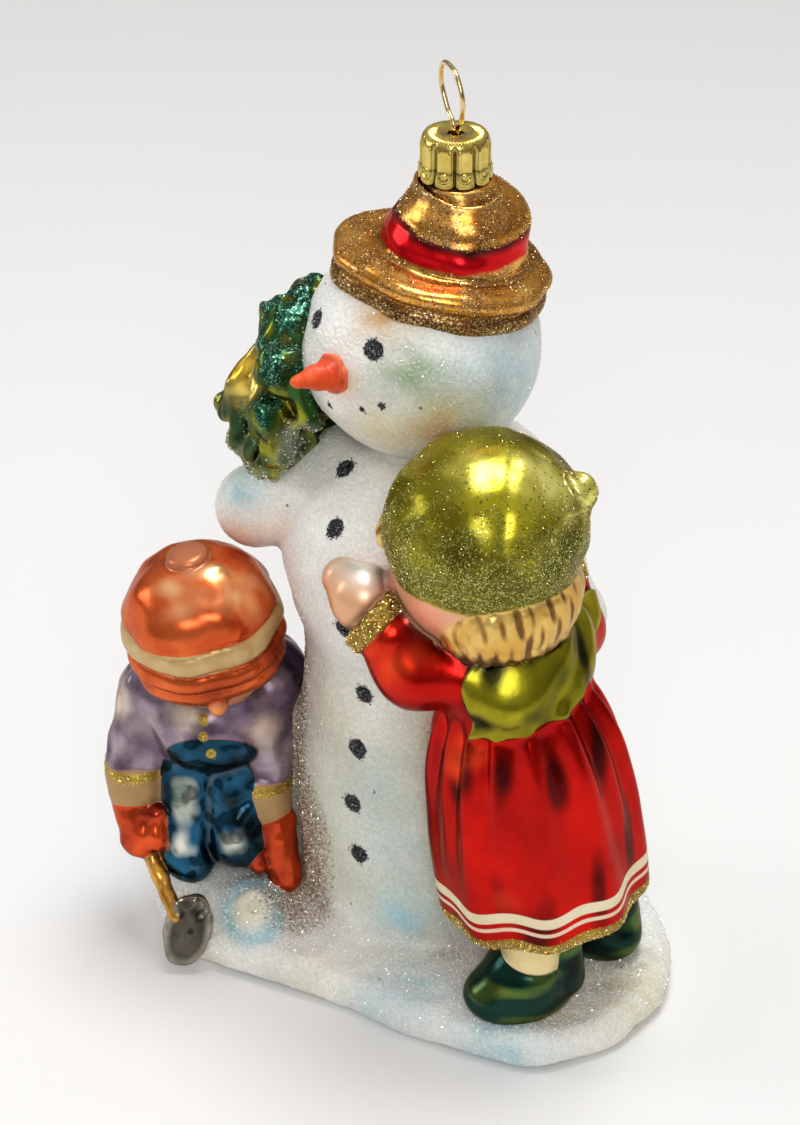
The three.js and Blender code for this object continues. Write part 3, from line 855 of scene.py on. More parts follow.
def girl_marks(q, normals, depths):
    height, radius, angle = skirt_place(q)
    height = height + 0.25 * np.cos(9 * angle)
    tall = np.array((1, 1, 0.4), np.float32)
    skirt = np.minimum(np.minimum(height + 1.5, 34 - height), radius - 11)
    hem = np.minimum(np.minimum(1.5 - height, height + 1.2), radius - 12)
    on_dress, on_hat = depths["dress"] > 0, clamped(depths["hat"] / 0.5)
    cheeks = spots(q, ((17, -17, 77.5), 3.4, 1), ((3.6, -17.8, 77.5), 3.4, 1), ((21, -9, 78), 4, 0.7))
    lights = spots(q, ((15.1, -6.2, 98), 4, 0.6), ((8, 1, 96), 4.5, 0.8), ((4, 4, 93), 4, 1))
    lights = clamped(lights * (1 + 0.5 * ripple(q, 4, 58)))
    # Painted shade on the girl's hat: darker towards its lower half and in one spot, except under its painted
    # highlights
    dusk = clamped((94 - q[:, 2] + 3.5 * ripple(q * tall, 7, 57)) / 8) * (1 - lights)
    dusk = np.maximum(dusk, near(q, (22, -2, 88), 5)) * clamped(depths["hat"] / 0.4)
    sparkle = np.clip(0.15 + (94 - q[:, 2]) / 12 + 0.3 * ripple(q, 5, 56), 0.1, 1)
    strand = clamped(1.5 * hair_strands(q) - 0.1)
    strand = np.maximum(strand, clamped((72.6 - q[:, 2] + 0.5 * ripple(q, 2, 65)) / 0.9))
    pearl = spots(q, ((18.6, -21, 78), 3.4, 1), ((18.4, -26, 78), 3, 0.4))
    # Painted highlights on the sleeve, the bodice and the skirt
    glow = spots(
        q, ((20, -15, 68), 5, 1), ((20.6, -18.7, 69), 4, 1), ((16.3, -4.6, 54), 2.6, 0.8),
        ((8.9, -1.2, 54), 2.4, 0.7), ((17.3, -6.5, 50), 2.4, 0.6),
    ) + spots(q * tall, ((19, 4, 12), 2.6, 0.7), ((9, 15, 14), 2.6, 0.35))
    swirl = 0.9 * near(q * (0.4, 0.4, 1), (4.4, 0.2, 7.4), 1.6) + ripple(q * (0.5, 0.5, 1.6), 6, 61)
    # Painted shade: random dark folds on the shawl
    gloom = clamped(1.2 * ripple(q, 6, 66) - 0.1) * clamped(shawl_area(q) / 0.5)
    return {
        **face_marks(q, (10.2, -19.6, 82), 4, 0.95, 6.2),
        "stripe_wide": np.minimum(np.minimum(height - 4.7, 6.5 - height), skirt),
        "stripe_thin": np.minimum(np.minimum(height - 3.1, 3.8 - height), skirt),
        "shawl": np.minimum(shawl_area(q), depths["dress"]),
        "trim": hem,
        "cheeks": clamped(cheeks),
        "lights": lights,
        "strand": clamped(strand) * (depths["hair"] > 0),
        "glow": clamped(glow * (1 + 0.6 * ripple(q, 5, 62))) * on_dress,
        # Painted shade: random dark streaks down the dress
        "night": clamped(1.3 * ripple(q * tall, 7, 60) - 0.2) * on_dress,
        "swirl": clamped(swirl - 0.05) * (depths["boot"] > 0),
        "sparkle": clamped((q[:, 2] - 76) / 2) * sparkle * on_hat,
        "dusk": dusk,
        "pearl": clamped(pearl) * (depths["skin"] > 0),
        "gloom": gloom * on_dress,
    }


# The boy, in his own frame: he looks along -Y and down

BOY_HAT = (-2, -5.5, 56.5)
BOY_HAT_TURN = (5, -9, 0)
BLADE_AT = (-5.2, -16.8, 7.4)
BLADE_RADII = (3.5, 1.7, 6.2)
BLADE_TURN = (-8, 14, 0)


def blade_rim(q):
    """1 along the rim of the shovel's blade, fading to 0 in its middle."""
    wide, _, high = BLADE_RADII
    flat = (q - np.array(BLADE_AT, np.float32)) @ turn_matrix(BLADE_TURN).astype(np.float32)
    return clamped((np.hypot(flat[:, 0] / wide, flat[:, 2] / high) - 0.66) / 0.3)


def boy_hat_height(q):
    """Height over the middle of the boy's tilted hat."""
    matrix = turn_matrix(BOY_HAT_TURN).astype(np.float32)
    return ((q - np.array(BOY_HAT, np.float32)) @ matrix)[:, 2]


def boy_figure(cell):
    hat = [
        (0, -8.4), (9, -8.4), (11.2, -7), (11.9, -4.5), (11.6, -1.8), (12, -0.4), (11.9, 2.4), (11.2, 5.2),
        (9.2, 8.6), (6, 10.8), (2.9, 11.7), (0, 12),
    ]
    knob = [(0, 10), (3, 10.4), (3.2, 12), (2.6, 13), (0, 13.3)]
    knee_right, knee_left = (-5.6, -8.2, 15.4), (2, -6.8, 19)
    parts = [
        ("hat", 0.6, turned(hat, BOY_HAT, BOY_HAT_TURN)),
        ("knob", 0.5, turned(knob, BOY_HAT, BOY_HAT_TURN)),
        ("skin", 0.7, ball((-0.8, -5.2, 51.4), (9.2, 9.4, 8.2))),
        ("skin", 0.8, ball((0.6, -14.4, 47.8), (1.5, 1.8, 2))),
        ("jacket", 2, ball((-1.6, -1, 38), (11.8, 8.8, 9.8))),
        ("jacket", 2, ball((3.5, 3.5, 41), (9.5, 7, 9.5))),
        ("jacket", 1.6, limb((-10, 0.6, 40), (-13.6, -3.4, 29.4), 6.2, 4.8)),
        ("cuff", 0.4, limb((-13.5, -4.2, 28), (-13.4, -4.9, 26), 4.8, 4.5)),
        ("mitten", 0.5, limb((-13.2, -6, 23.2), (-12.4, -7.8, 19), 4.1, 3.6)),
        ("mitten", 0.8, limb((-10.4, -8.8, 23.4), (-10, -10.4, 19.6), 1.8, 1.5)),
        ("jacket", 1.6, limb((6.4, 0.4, 41), (6, -4, 27.6), 6, 4.5)),
        ("cuff", 0.4, limb((6, -4.6, 26), (6.2, -5, 23.8), 4.7, 4.5)),
        ("mitten", 0.5, limb((7.2, -5.8, 20.4), (9.6, -8.4, 11.4), 4.1, 2.6)),
        ("mitten", 0.7, limb((4.4, -8, 20), (5.6, -10, 15), 1.9, 1.4)),
        ("trousers", 1.2, ball((-1.4, -3, 35.6), (8.4, 8, 5.4))),
        ("trousers", 2, limb((-5, -3.6, 30), knee_right, 4.9, 4.1)),
        ("trousers", 1.2, limb((2.6, -3.6, 29), knee_left, 5.2, 5.4)),
        ("trousers", 1.4, limb(knee_right, (-6, 9.5, 11.5), 3.8, 4.2)),
        ("trousers", 1.4, limb(knee_left, (4, 9.5, 12), 4.4, 4.2)),
        ("sole", 0.8, limb((-6, 9.5, 11.4), (-6.2, 13.6, 8.6), 4, 3.4)),
        ("sole", 0.8, limb((4, 9.5, 12), (4.2, 13.6, 8.8), 4, 3.4)),
        ("handle", 0.4, limb((-12.2, -8, 18), (-6.9, -16.6, 10.2), 1.3, 1.2)),
        ("blade", 0.5, ball(BLADE_AT, BLADE_RADII, BLADE_TURN)),
    ]

    def relief(q, cover):
        rise = boy_hat_height(q) + 0.3 * ripple(q, 9, 76)
        steps = 0.35 * np.exp(-((rise - 2.4) / 0.5) ** 2) + 0.35 * np.exp(-((rise + 1.6) / 0.5) ** 2)
        steps += 0.5 * np.exp(-((rise + 4.9) / 0.6) ** 2) - 0.3 * np.exp(-((rise + 3.2) / 1.1) ** 2)
        steps = steps - 0.22 * np.exp(-((rise - 0.5) / 1.4) ** 2)
        whole = cover("hat") * (steps + 0.42 * ripple(q, 9, 61) + 0.06 * ripple(q, 3.2, 62))
        whole += cover("jacket") * (0.4 * ripple(q, 6, 63) + 0.06 * ripple(q, 2.6, 64))
        fold = 0.5 * np.exp(-((q[:, 2] - 24.5 - 0.5 * q[:, 0]) / 1.1) ** 2) * clamped(q[:, 0] / 3 + 0.8)
        whole += cover("trousers") * (0.26 * ripple(q, 5.4, 65) + 0.08 * ripple(q, 2.4, 66) + fold)
        whole += cover("mitten") * 0.2 * ripple(q, 3.6, 67)
        whole += cover("blade") * (0.2 * ripple(q, 2.6, 68) - 0.25 * blade_rim(q))
        whole += cover("handle") * 0.12 * ripple(q, 2.4, 69)
        return whole

    return Figure(parts, (-21, -23, 1), (16, 20, 72), cell, relief, at=BOY_AT, turn=BOY_TURN)


def boy_marks(q, normals, depths):
    rise = boy_hat_height(q) + 0.15 * ripple(q, 6, 71)
    on_hat = depths["hat"] > 0
    braid = np.full(len(q), -DEEPEST_MARK, np.float32)
    for centre, radius in (((-13.5, -3.8, 29.8), 5.8), ((6, -4.4, 27.8), 5.6)):
        level = 0.75 - np.abs(q[:, 2] - centre[2])
        round_arm = radius + 0.4 - np.hypot(q[:, 0] - centre[0], q[:, 1] - centre[1])
        braid = np.maximum(braid, np.minimum(np.minimum(level, round_arm), -3.4 + np.abs(q[:, 0] + 4) - 1))
    buttons = np.full(len(q), -DEEPEST_MARK, np.float32)
    for centre in ((-2.2, -9.2, 41.4), (-2.2, -9.6, 39), (-1.1, -10, 36.2)):
        buttons = np.maximum(buttons, dot_mark(q, centre, (0.8, 3, 0.8)))
    purple = spots(
        q, ((10, 3, 47), 6, 1), ((-14, -2, 33), 6, 1), ((-2, -10, 40.5), 2.4, 0.8), ((7, -4, 32), 4, 0.6)
    ) + 0.5 * ripple(q, 5, 72) - 0.1
    cream = spots(q, ((-4.5, -9, 42.5), 3.4, 1), ((6.4, -6.5, 38), 3, 1), ((-15, -2, 40), 3, 1))
    # Painted highlights on the trousers' thighs and knees
    shine = spots(
        q, ((1.8, -11.4, 20.5), 2.4, 1), ((-5.6, -10, 25), 2.2, 1), ((-5.8, -11.4, 19.6), 2.2, 1),
        ((-5.6, -9, 28.5), 2.2, 1),
    ) * (1 + 0.35 * ripple(q, 3, 73))
    lights = spots(q, ((4.5, -11, 64.5), 3.4, 0.9), ((-4.6, -12.1, 65), 3.6, 0.6), ((1, -10, 67), 3, 0.6))
    lights = lights * (1 + 0.8 * ripple(q * (1, 1, 0.6), 3.4, 74))
    return {
        **face_marks(q, (0.2, -14.4, 50.6), 3.2, 0.8, 5.6),
        "stripe": np.minimum(2.4 - rise, rise + 1.4),
        "purple": clamped(purple),
        "shine": clamped(1.5 * shine - 0.35) * (depths["trousers"] > 0),
        "lights": clamped(lights) * on_hat,
        # Painted shade: random darker patches on the boy's hat
        "umber": clamped(1.1 * ripple(q, 12, 75) - 0.3) * on_hat,
        "cream": clamped(cream) * (depths["jacket"] > 0),
        "beak": near(q, (0.6, -15, 47.8), 2.6) * (depths["skin"] > 0),
        "blade_rim": blade_rim(q) * (depths["blade"] > -0.2),
        "trim": np.maximum(np.minimum(braid, np.maximum(depths["jacket"], depths["cuff"])), buttons),
    }


# The carrot nose

def carrot_figure(cell):
    height, turn, rise = 4, -9, 9  # degrees: up from the head's middle, turned round it, and tipped up
    spin = turn_matrix((0, 0, turn))
    root = spin @ (turn_matrix((-height, 0, 0)) @ np.array((0, -HEAD_RADII[1], 0)))
    way = spin @ (turn_matrix((90 - rise, 0, 0)) @ np.array((0, 0, 1)))
    head = np.array(HEAD_AT)
    start = head + root + way * -1
    end = head + root + way * (NOSE_LENGTH - 1)
    parts = [
        ("carrot", 0.6, limb(start, end, NOSE_RADIUS + 0.1, 0.95)),
        ("glue", 0.9, ball(head + root * 0.985, (2.9, 0.75, 2.8), (0, 0, turn))),
    ]
    centre, way = start.astype(np.float32), way.astype(np.float32)

    def relief(q, cover):
        t = (q - centre) @ way
        rings = 0.07 * np.exp(-((np.mod(t + 0.4 * ripple(q, 3, 81), 1.9) - 0.9) / 0.25) ** 2)
        root = rings + 0.14 * ripple(q, 2.6, 82)
        return cover("carrot") * root + cover("glue") * 0.14 * ripple(q, 1.4, 83)

    return Figure(parts, (-9, -28, 92), (4, -15, 108), cell, relief)


# Node trees

class Wiring:
    """Adds nodes to a tree and links them by plain calls."""

    def put(self, socket, value):
        if isinstance(value, bpy.types.NodeSocket):
            self.tree.links.new(value, socket)
        elif socket.type == "RGBA" and len(value) == 3:
            socket.default_value = (*value, 1)
        else:
            socket.default_value = value

    def node(self, kind, settings=(), **inputs):
        made = self.tree.nodes.new(kind)
        for key, value in dict(settings).items():
            setattr(made, key, value)
        for key, value in inputs.items():
            self.put(made.inputs[key.replace("_", " ")], value)
        return made

    def math(self, operation, a, b=0.0, clamp=False):
        made = self.node("ShaderNodeMath", {"operation": operation, "use_clamp": clamp})
        self.put(made.inputs[0], a)
        self.put(made.inputs[1], b)
        return made.outputs[0]


class Finish(Wiring):
    """A material's tree."""

    def __init__(self, name):
        self.material = bpy.data.materials.new(name)
        self.material.use_nodes = True
        self.tree = self.material.node_tree
        self.shader = self.tree.nodes["Principled BSDF"]

    def attribute(self, name, output="Fac"):
        return self.node("ShaderNodeAttribute", {"attribute_name": name}).outputs[output]

    def place(self):
        return self.node("ShaderNodeTexCoord").outputs["Object"]

    def noise(self, scale, detail=3, distortion=0):
        return self.node(
            "ShaderNodeTexNoise", Vector=self.place(), Scale=scale, Detail=detail, Distortion=distortion
        ).outputs["Fac"]

    def cells(self, scale):
        return self.node("ShaderNodeTexVoronoi", {"feature": "F1"}, Vector=self.place(), Scale=scale).outputs

    def grey(self, value):
        return self.node("ShaderNodeCombineColor", Red=value, Green=value, Blue=value).outputs[0]

    def band(self, value, low, high, to_low=0.0, to_high=1.0):
        return self.node(
            "ShaderNodeMapRange",
            Value=value, From_Min=low, From_Max=high, To_Min=to_low, To_Max=to_high,
        ).outputs["Result"]

    def mix(self, factor, a, b, kind="MIX"):
        made = self.node("ShaderNodeMix", {"data_type": "RGBA", "blend_type": kind})
        self.put(made.inputs["Factor"], factor)
        self.put(made.inputs[6], a)
        self.put(made.inputs[7], b)
        return made.outputs[2]

    def mix_value(self, factor, a, b):
        made = self.node("ShaderNodeMix", {"data_type": "FLOAT"})
        self.put(made.inputs["Factor"], factor)
        self.put(made.inputs[2], a)
        self.put(made.inputs[3], b)
        return made.outputs[0]

    def bump(self, height, distance, strength=1.0):
        made = self.node("ShaderNodeBump", Height=height, Distance=distance, Strength=strength)
        self.put(self.shader.inputs["Normal"], made.outputs["Normal"])

    def shade(self, **inputs):
        for key, value in inputs.items():
            self.put(self.shader.inputs[key.replace("_", " ")], value)
        return self.material


def coat(mark, light, dark, metal=0.75, rough=0.34, edge=0.12, wobble=0.0, soft=False):
    """One lacquer: where it lies, its two tones and its gloss. A soft coat fades in by its mark's 0 to 1."""
    return {
        "mark": mark, "light": light, "dark": dark, "metal": metal, "rough": rough, "edge": edge,
        "wobble": wobble, "soft": soft,
    }


def lacquered(name, ground, coats, dust=None, crease_pool_and_shade=0.8, mottle=95, coat_weight=0.08, bump=0.00005):
    """Lacquers laid one over another on silvered glass, darker in creases, partly as pooled lacquer and
    partly as painted shade, and lighter on ridges as a painted highlight.
    """
    n = Finish(name)
    # Random mottle between each coat's two tones, partly standing in for the uneven reflection of the
    # silvering: painted reflection
    broad = n.band(n.noise(mottle, 4, 0.6), 0.36, 0.64)
    fine = n.noise(mottle * 5, 3)
    tone = n.band(n.math("ADD", n.math("MULTIPLY", broad, 0.75), n.math("MULTIPLY", fine, 0.5)), 0.25, 1.0)
    colour = n.mix(tone, ground["dark"], ground["light"])
    metal, rough = ground["metal"], ground["rough"]
    grain = n.math("SUBTRACT", n.noise(900, 2), 0.5)
    for item in coats:
        depth = n.attribute(item["mark"])
        if item["soft"]:
            cover = n.band(depth, 0.1, 0.9)
        else:
            if item["wobble"]:
                depth = n.math("ADD", depth, n.math("MULTIPLY", grain, item["wobble"]))
            cover = n.band(depth, -item["edge"], item["edge"])
        colour = n.mix(cover, colour, n.mix(tone, item["dark"], item["light"]))
        metal = n.mix_value(cover, metal, item["metal"])
        rough = n.mix_value(cover, rough, item["rough"])
    # Darker in creases: partly pooled lacquer, partly painted shade
    deep = n.band(n.attribute("deep"), 0.05, 0.6, 0, crease_pool_and_shade)
    colour = n.mix(deep, colour, n.mix(1.0, colour, (0.16, 0.1, 0.08), "MULTIPLY"))
    # Painted highlight: a lighter, warm tone on ridges
    ridge = n.band(n.attribute("ridge"), 0.12, 0.6, 0, 0.2)
    colour = n.mix(ridge, colour, n.mix(0.4, colour, (0.95, 0.8, 0.55)))
    height = n.math("ADD", n.math("MULTIPLY", n.noise(1500, 2), 0.3), n.noise(260, 3))
    if dust:
        mark, light, dark, share = dust
        part = n.node("ShaderNodeSeparateColor", Color=n.cells(4600.0)["Color"])
        speck = n.math("LESS_THAN", part.outputs["Red"], n.math("MULTIPLY", n.attribute(mark), share))
        bright = n.math("POWER", part.outputs["Green"], 2.0)
        colour = n.mix(n.math("MULTIPLY", speck, 0.8), colour, n.mix(bright, dark, light))
        lift = n.math("MULTIPLY", speck, part.outputs["Blue"])
        height = n.math("ADD", height, n.math("MULTIPLY", lift, 2.5))
    n.bump(height, bump)
    rough = n.math("ADD", rough, n.math("MULTIPLY", n.math("SUBTRACT", fine, 0.5), 0.12))
    n.shade(Coat_Weight=coat_weight, Coat_Roughness=0.1, IOR=1.5, Specular_Tint=(0.6, 0.5, 0.42))
    return n.shade(Base_Color=colour, Metallic=metal, Roughness=rough)


# Fine glitter under a lacquer: its mark, its two tones, and the share of specks at full mark
GOLD_DUST = ("gold", (1.0, 0.74, 0.34), (0.16, 0.06, 0.01), 0.55)
FIR_DUST = ("teal", (0.3, 0.75, 0.5), (0.003, 0.03, 0.02), 0.4)
LIME_DUST = ("sparkle", (0.75, 0.74, 0.2), (0.06, 0.06, 0.004), 0.6)


def snow_material(look):
    n = Finish("frosted_snow_glass")
    paint = n.attribute("paint", "Color")
    cloud = n.band(n.noise(70, 5, 0.4), 0.3, 0.7, 0.92, 1.06)
    speckle = n.band(n.noise(1800, 3), 0.34, 0.66, 0.9, 1.07)
    shade = n.math("MULTIPLY", cloud, speckle)
    colour = n.mix(1.0, paint, n.grey(shade), "MULTIPLY")
    colour = n.mix(1.0, colour, look.snow, "MULTIPLY")
    # Painted shade: darker in creases
    deep = n.band(n.attribute("deep"), 0.05, 0.7, 0, 0.55)
    colour = n.mix(deep, colour, n.mix(1.0, colour, (0.6, 0.58, 0.54), "MULTIPLY"))
    specks = n.math("LESS_THAN", n.cells(260.0)["Distance"], 0.075)
    dust = n.math("MULTIPLY", specks, n.math("GREATER_THAN", n.noise(300, 1), 0.55))
    colour = n.mix(n.math("MULTIPLY", dust, 0.75), colour, (0.05, 0.045, 0.04))
    coal = n.band(n.attribute("coal"), -0.1, 0.12)
    colour = n.mix(coal, colour, (0.02, 0.021, 0.024))
    grain = n.math("ADD", n.math("MULTIPLY", n.noise(1900, 3), 0.9), n.math("MULTIPLY", n.noise(800, 2), 0.5))
    n.bump(grain, 0.00025, 0.8)
    rough = n.band(n.noise(2400, 1), 0.35, 0.65, 0.32, 0.62)
    n.shade(Coat_Weight=0.08, Coat_Roughness=0.3, IOR=1.4)
    return n.shade(Base_Color=colour, Metallic=n.band(coal, 0, 1, 0.12, 0.0), Roughness=rough)


def flake_material(name, colours, metal, rough):
    """Glitter: each flake has a tone of its own between three colours."""
    n = Finish(name)
    ramp = n.node("ShaderNodeValToRGB", Fac=n.attribute("tone"))
    ramp.color_ramp.elements[0].color = (*colours[0], 1)
    ramp.color_ramp.elements[1].color = (*colours[2], 1)
    ramp.color_ramp.elements.new(0.5).color = (*colours[1], 1)
    rough = n.band(n.noise(3000, 1), 0.3, 0.7, rough * 0.6, rough * 1.4)
    n.shade(IOR=1.5)
    return n.shade(Base_Color=ramp.outputs["Color"], Metallic=metal, Roughness=rough)


def carrot_material(look):
    n = Finish("carrot_orange")
    tone = n.band(n.noise(420, 4), 0.3, 0.7)
    colour = n.mix(tone, look.carrot, (0.85, 0.11, 0.02))
    # Painted shade: a darker orange in creases
    colour = n.mix(n.band(n.attribute("deep"), 0.02, 0.4), colour, (0.45, 0.04, 0.01))
    colour = n.mix(n.band(n.attribute("glue"), -0.1, 0.2, 0, 0.5), colour, (0.85, 0.2, 0.08))
    n.bump(n.noise(1900, 3), 0.00008)
    n.shade(IOR=1.4, Coat_Weight=0.1, Coat_Roughness=0.3)
    return n.shade(Base_Color=colour, Roughness=n.band(n.noise(1400, 2), 0.3, 0.7, 0.32, 0.5))


def metal_material(name, colour, dark, rough, groove=False):
    n = Finish(name)
    tone = n.band(n.noise(600, 3), 0.3, 0.7)
    shade = n.mix(tone, dark, colour)
    # Painted shade: darker in the grooves between the flutes and beside the embossed arches
    if groove:
        shade = n.mix(n.band(n.attribute("groove"), 0.2, 1.0, 0, 0.9), shade, (0.05, 0.035, 0.01))
    n.bump(n.noise(2500, 2), 0.00002)
    rough = n.band(n.noise(1500, 2), 0.3, 0.7, rough * 0.7, rough * 1.3)
    n.shade(IOR=1.5, Coat_Weight=0.2, Coat_Roughness=0.08)
    return n.shade(Base_Color=shade, Metallic=1.0, Roughness=rough)


# Geometry Nodes

class Tree(Wiring):
    """A Geometry Nodes tree with named inputs."""

    def __init__(self, name, inputs):
        self.tree = bpy.data.node_groups.new(name, "GeometryNodeTree")
        face = self.tree.interface
        face.new_socket("Geometry", in_out="INPUT", socket_type="NodeSocketGeometry")
        for label, kind in inputs:
            face.new_socket(label, in_out="INPUT", socket_type=kind)
        face.new_socket("Geometry", in_out="OUTPUT", socket_type="NodeSocketGeometry")
        self.given = self.tree.nodes.new("NodeGroupInput").outputs
        self.result = self.tree.nodes.new("NodeGroupOutput").inputs[0]

    def close(self, geometry, material):
        real = self.node("GeometryNodeRealizeInstances", Geometry=geometry).outputs["Geometry"]
        dressed = self.node("GeometryNodeSetMaterial", Geometry=real, Material=material)
        self.tree.links.new(dressed.outputs["Geometry"], self.result)
        return self.tree


def run_tree(tree, source, name, values):
    """Runs a tree on an object's geometry and returns the result as a plain mesh object."""
    modifier = source.modifiers.new(name, "NODES")
    modifier.node_group = tree
    sockets = {
        item.name: item.identifier for item in tree.interface.items_tree
        if item.item_type == "SOCKET" and item.in_out == "INPUT"
    }
    for label, value in values.items():
        modifier[sockets[label]] = value
    bpy.context.view_layer.update()
    evaluated = source.evaluated_get(bpy.context.evaluated_depsgraph_get())
    mesh = bpy.data.meshes.new_from_object(evaluated)
    source.modifiers.remove(modifier)
    mesh.name = name
    piece = bpy.data.objects.new(name, mesh)
    bpy.context.collection.objects.link(piece)
    return piece


def glitter_tree():
    """Flakes strewn on a surface as thick as an attribute says, each with its own size, tilt and tone."""
    t = Tree("strewn_flakes", [
        ("Thickness Map", "NodeSocketString"), ("Full Thickness", "NodeSocketFloat"),
        ("Flakes per Square Metre", "NodeSocketFloat"),
        ("Flake Size", "NodeSocketFloat"), ("Flatness", "NodeSocketFloat"), ("Tilt", "NodeSocketFloat"),
        ("Seed", "NodeSocketInt"), ("Finish", "NodeSocketMaterial"),
    ])
    g = t.given
    amount = t.node("GeometryNodeInputNamedAttribute", {"data_type": "FLOAT"}, Name=g["Thickness Map"])
    share = t.math("DIVIDE", amount.outputs["Attribute"], g["Full Thickness"], clamp=True)
    density = t.math("MULTIPLY", share, g["Flakes per Square Metre"])
    points = t.node(
        "GeometryNodeDistributePointsOnFaces", {"distribute_method": "RANDOM"},
        Mesh=g["Geometry"], Density=density, Seed=g["Seed"],
    )
    tone = t.node("FunctionNodeRandomValue", {"data_type": "FLOAT"}, Seed=g["Seed"])
    kept = t.node(
        "GeometryNodeStoreNamedAttribute", {"data_type": "FLOAT", "domain": "POINT"},
        Geometry=points.outputs["Points"], Name="tone",
    )
    t.put(kept.inputs["Value"], tone.outputs[1])
    flake = t.node(
        "GeometryNodeMeshCone", {"fill_type": "NGON"},
        Vertices=3, Radius_Top=0.0, Radius_Bottom=0.56, Depth=g["Flatness"],
    )
    lean = t.math("MULTIPLY", g["Tilt"], -1.0)
    low = t.node("ShaderNodeCombineXYZ", X=lean, Y=lean, Z=-3.14)
    high = t.node("ShaderNodeCombineXYZ", X=g["Tilt"], Y=g["Tilt"], Z=3.14)
    swing = t.node("FunctionNodeRandomValue", {"data_type": "FLOAT_VECTOR"})
    t.put(swing.inputs[0], low.outputs[0])
    t.put(swing.inputs[1], high.outputs[0])
    turn = t.node("FunctionNodeEulerToRotation", Euler=swing.outputs[0])
    lay = t.node(
        "FunctionNodeRotateRotation", {"rotation_space": "LOCAL"},
        Rotation=points.outputs["Rotation"], Rotate_By=turn.outputs[0],
    )
    size = t.node("FunctionNodeRandomValue", {"data_type": "FLOAT"})
    size.inputs[2].default_value = 0.55
    size.inputs[3].default_value = 1.25
    size.inputs["Seed"].default_value = 3
    scaled = t.math("MULTIPLY", size.outputs[1], g["Flake Size"])
    laid = t.node(
        "GeometryNodeInstanceOnPoints", Points=kept.outputs["Geometry"], Instance=flake.outputs["Mesh"],
        Rotation=lay.outputs[0], Scale=scaled,
    )
    return t.close(laid.outputs["Instances"], g["Finish"])


def strewn(source, name, material, mask, per_mm2, size, flat, tilt, seed, full=1.0):
    """Strews flakes over a piece where its mask is above 0, at full thickness where the mask is at full."""
    tree = bpy.data.node_groups.get("strewn_flakes") or glitter_tree()
    piece = run_tree(tree, source, name, {
        "Thickness Map": mask, "Full Thickness": full, "Flakes per Square Metre": per_mm2 / MM ** 2,
        "Flake Size": size * MM, "Flatness": flat, "Tilt": tilt, "Seed": seed, "Finish": material,
    })
    if not len(piece.data.polygons):
        raise RuntimeError(f"no flakes on {name}")
    return finished(piece, "glass_body")


def petal_tree():
    """Copies of one petal turned about Z and welded."""
    t = Tree("petals_in_a_ring", [("Petals", "NodeSocketInt"), ("Finish", "NodeSocketMaterial")])
    g = t.given
    places = t.node("GeometryNodePoints", Count=g["Petals"])
    step = t.math("DIVIDE", 2 * math.pi, g["Petals"])
    angle = t.math("MULTIPLY", t.node("GeometryNodeInputIndex").outputs[0], step)
    spin = t.node("ShaderNodeCombineXYZ", Z=angle)
    turn = t.node("FunctionNodeEulerToRotation", Euler=spin.outputs[0])
    ring = t.node(
        "GeometryNodeInstanceOnPoints",
        Points=places.outputs[0], Instance=g["Geometry"], Rotation=turn.outputs[0],
    )
    real = t.node("GeometryNodeRealizeInstances", Geometry=ring.outputs["Instances"])
    welded = t.node("GeometryNodeMergeByDistance", Geometry=real.outputs[0], Distance=0.000002)
    return t.close(welded.outputs["Geometry"], g["Finish"])


def wire_tree():
    """A round wire along a curve."""
    t = Tree("drawn_wire", [
        ("Wire Radius", "NodeSocketFloat"), ("Sides", "NodeSocketInt"), ("Finish", "NodeSocketMaterial"),
    ])
    g = t.given
    section = t.node(
        "GeometryNodeCurvePrimitiveCircle", {"mode": "RADIUS"}, Resolution=g["Sides"], Radius=g["Wire Radius"]
    )
    drawn = t.node("GeometryNodeCurveToMesh", Curve=g["Geometry"], Profile_Curve=section.outputs["Curve"])
    drawn.inputs["Fill Caps"].default_value = True
    smooth = t.node("GeometryNodeSetShadeSmooth", Geometry=drawn.outputs["Mesh"])
    return t.close(smooth.outputs["Geometry"], g["Finish"])


# The cap and its wire

# Heights on the cap's flutes, over its lower edge
CAP_SHOULDER = 6.4
ARCH_FOOT = 1.75
DOT_HEIGHT = 1.9
CRIMP_HEIGHT = 6.5


def bell(value, middle, width):
    """A soft ridge, 1 at its middle."""
    return math.exp(-((value - middle) / width) ** 2)


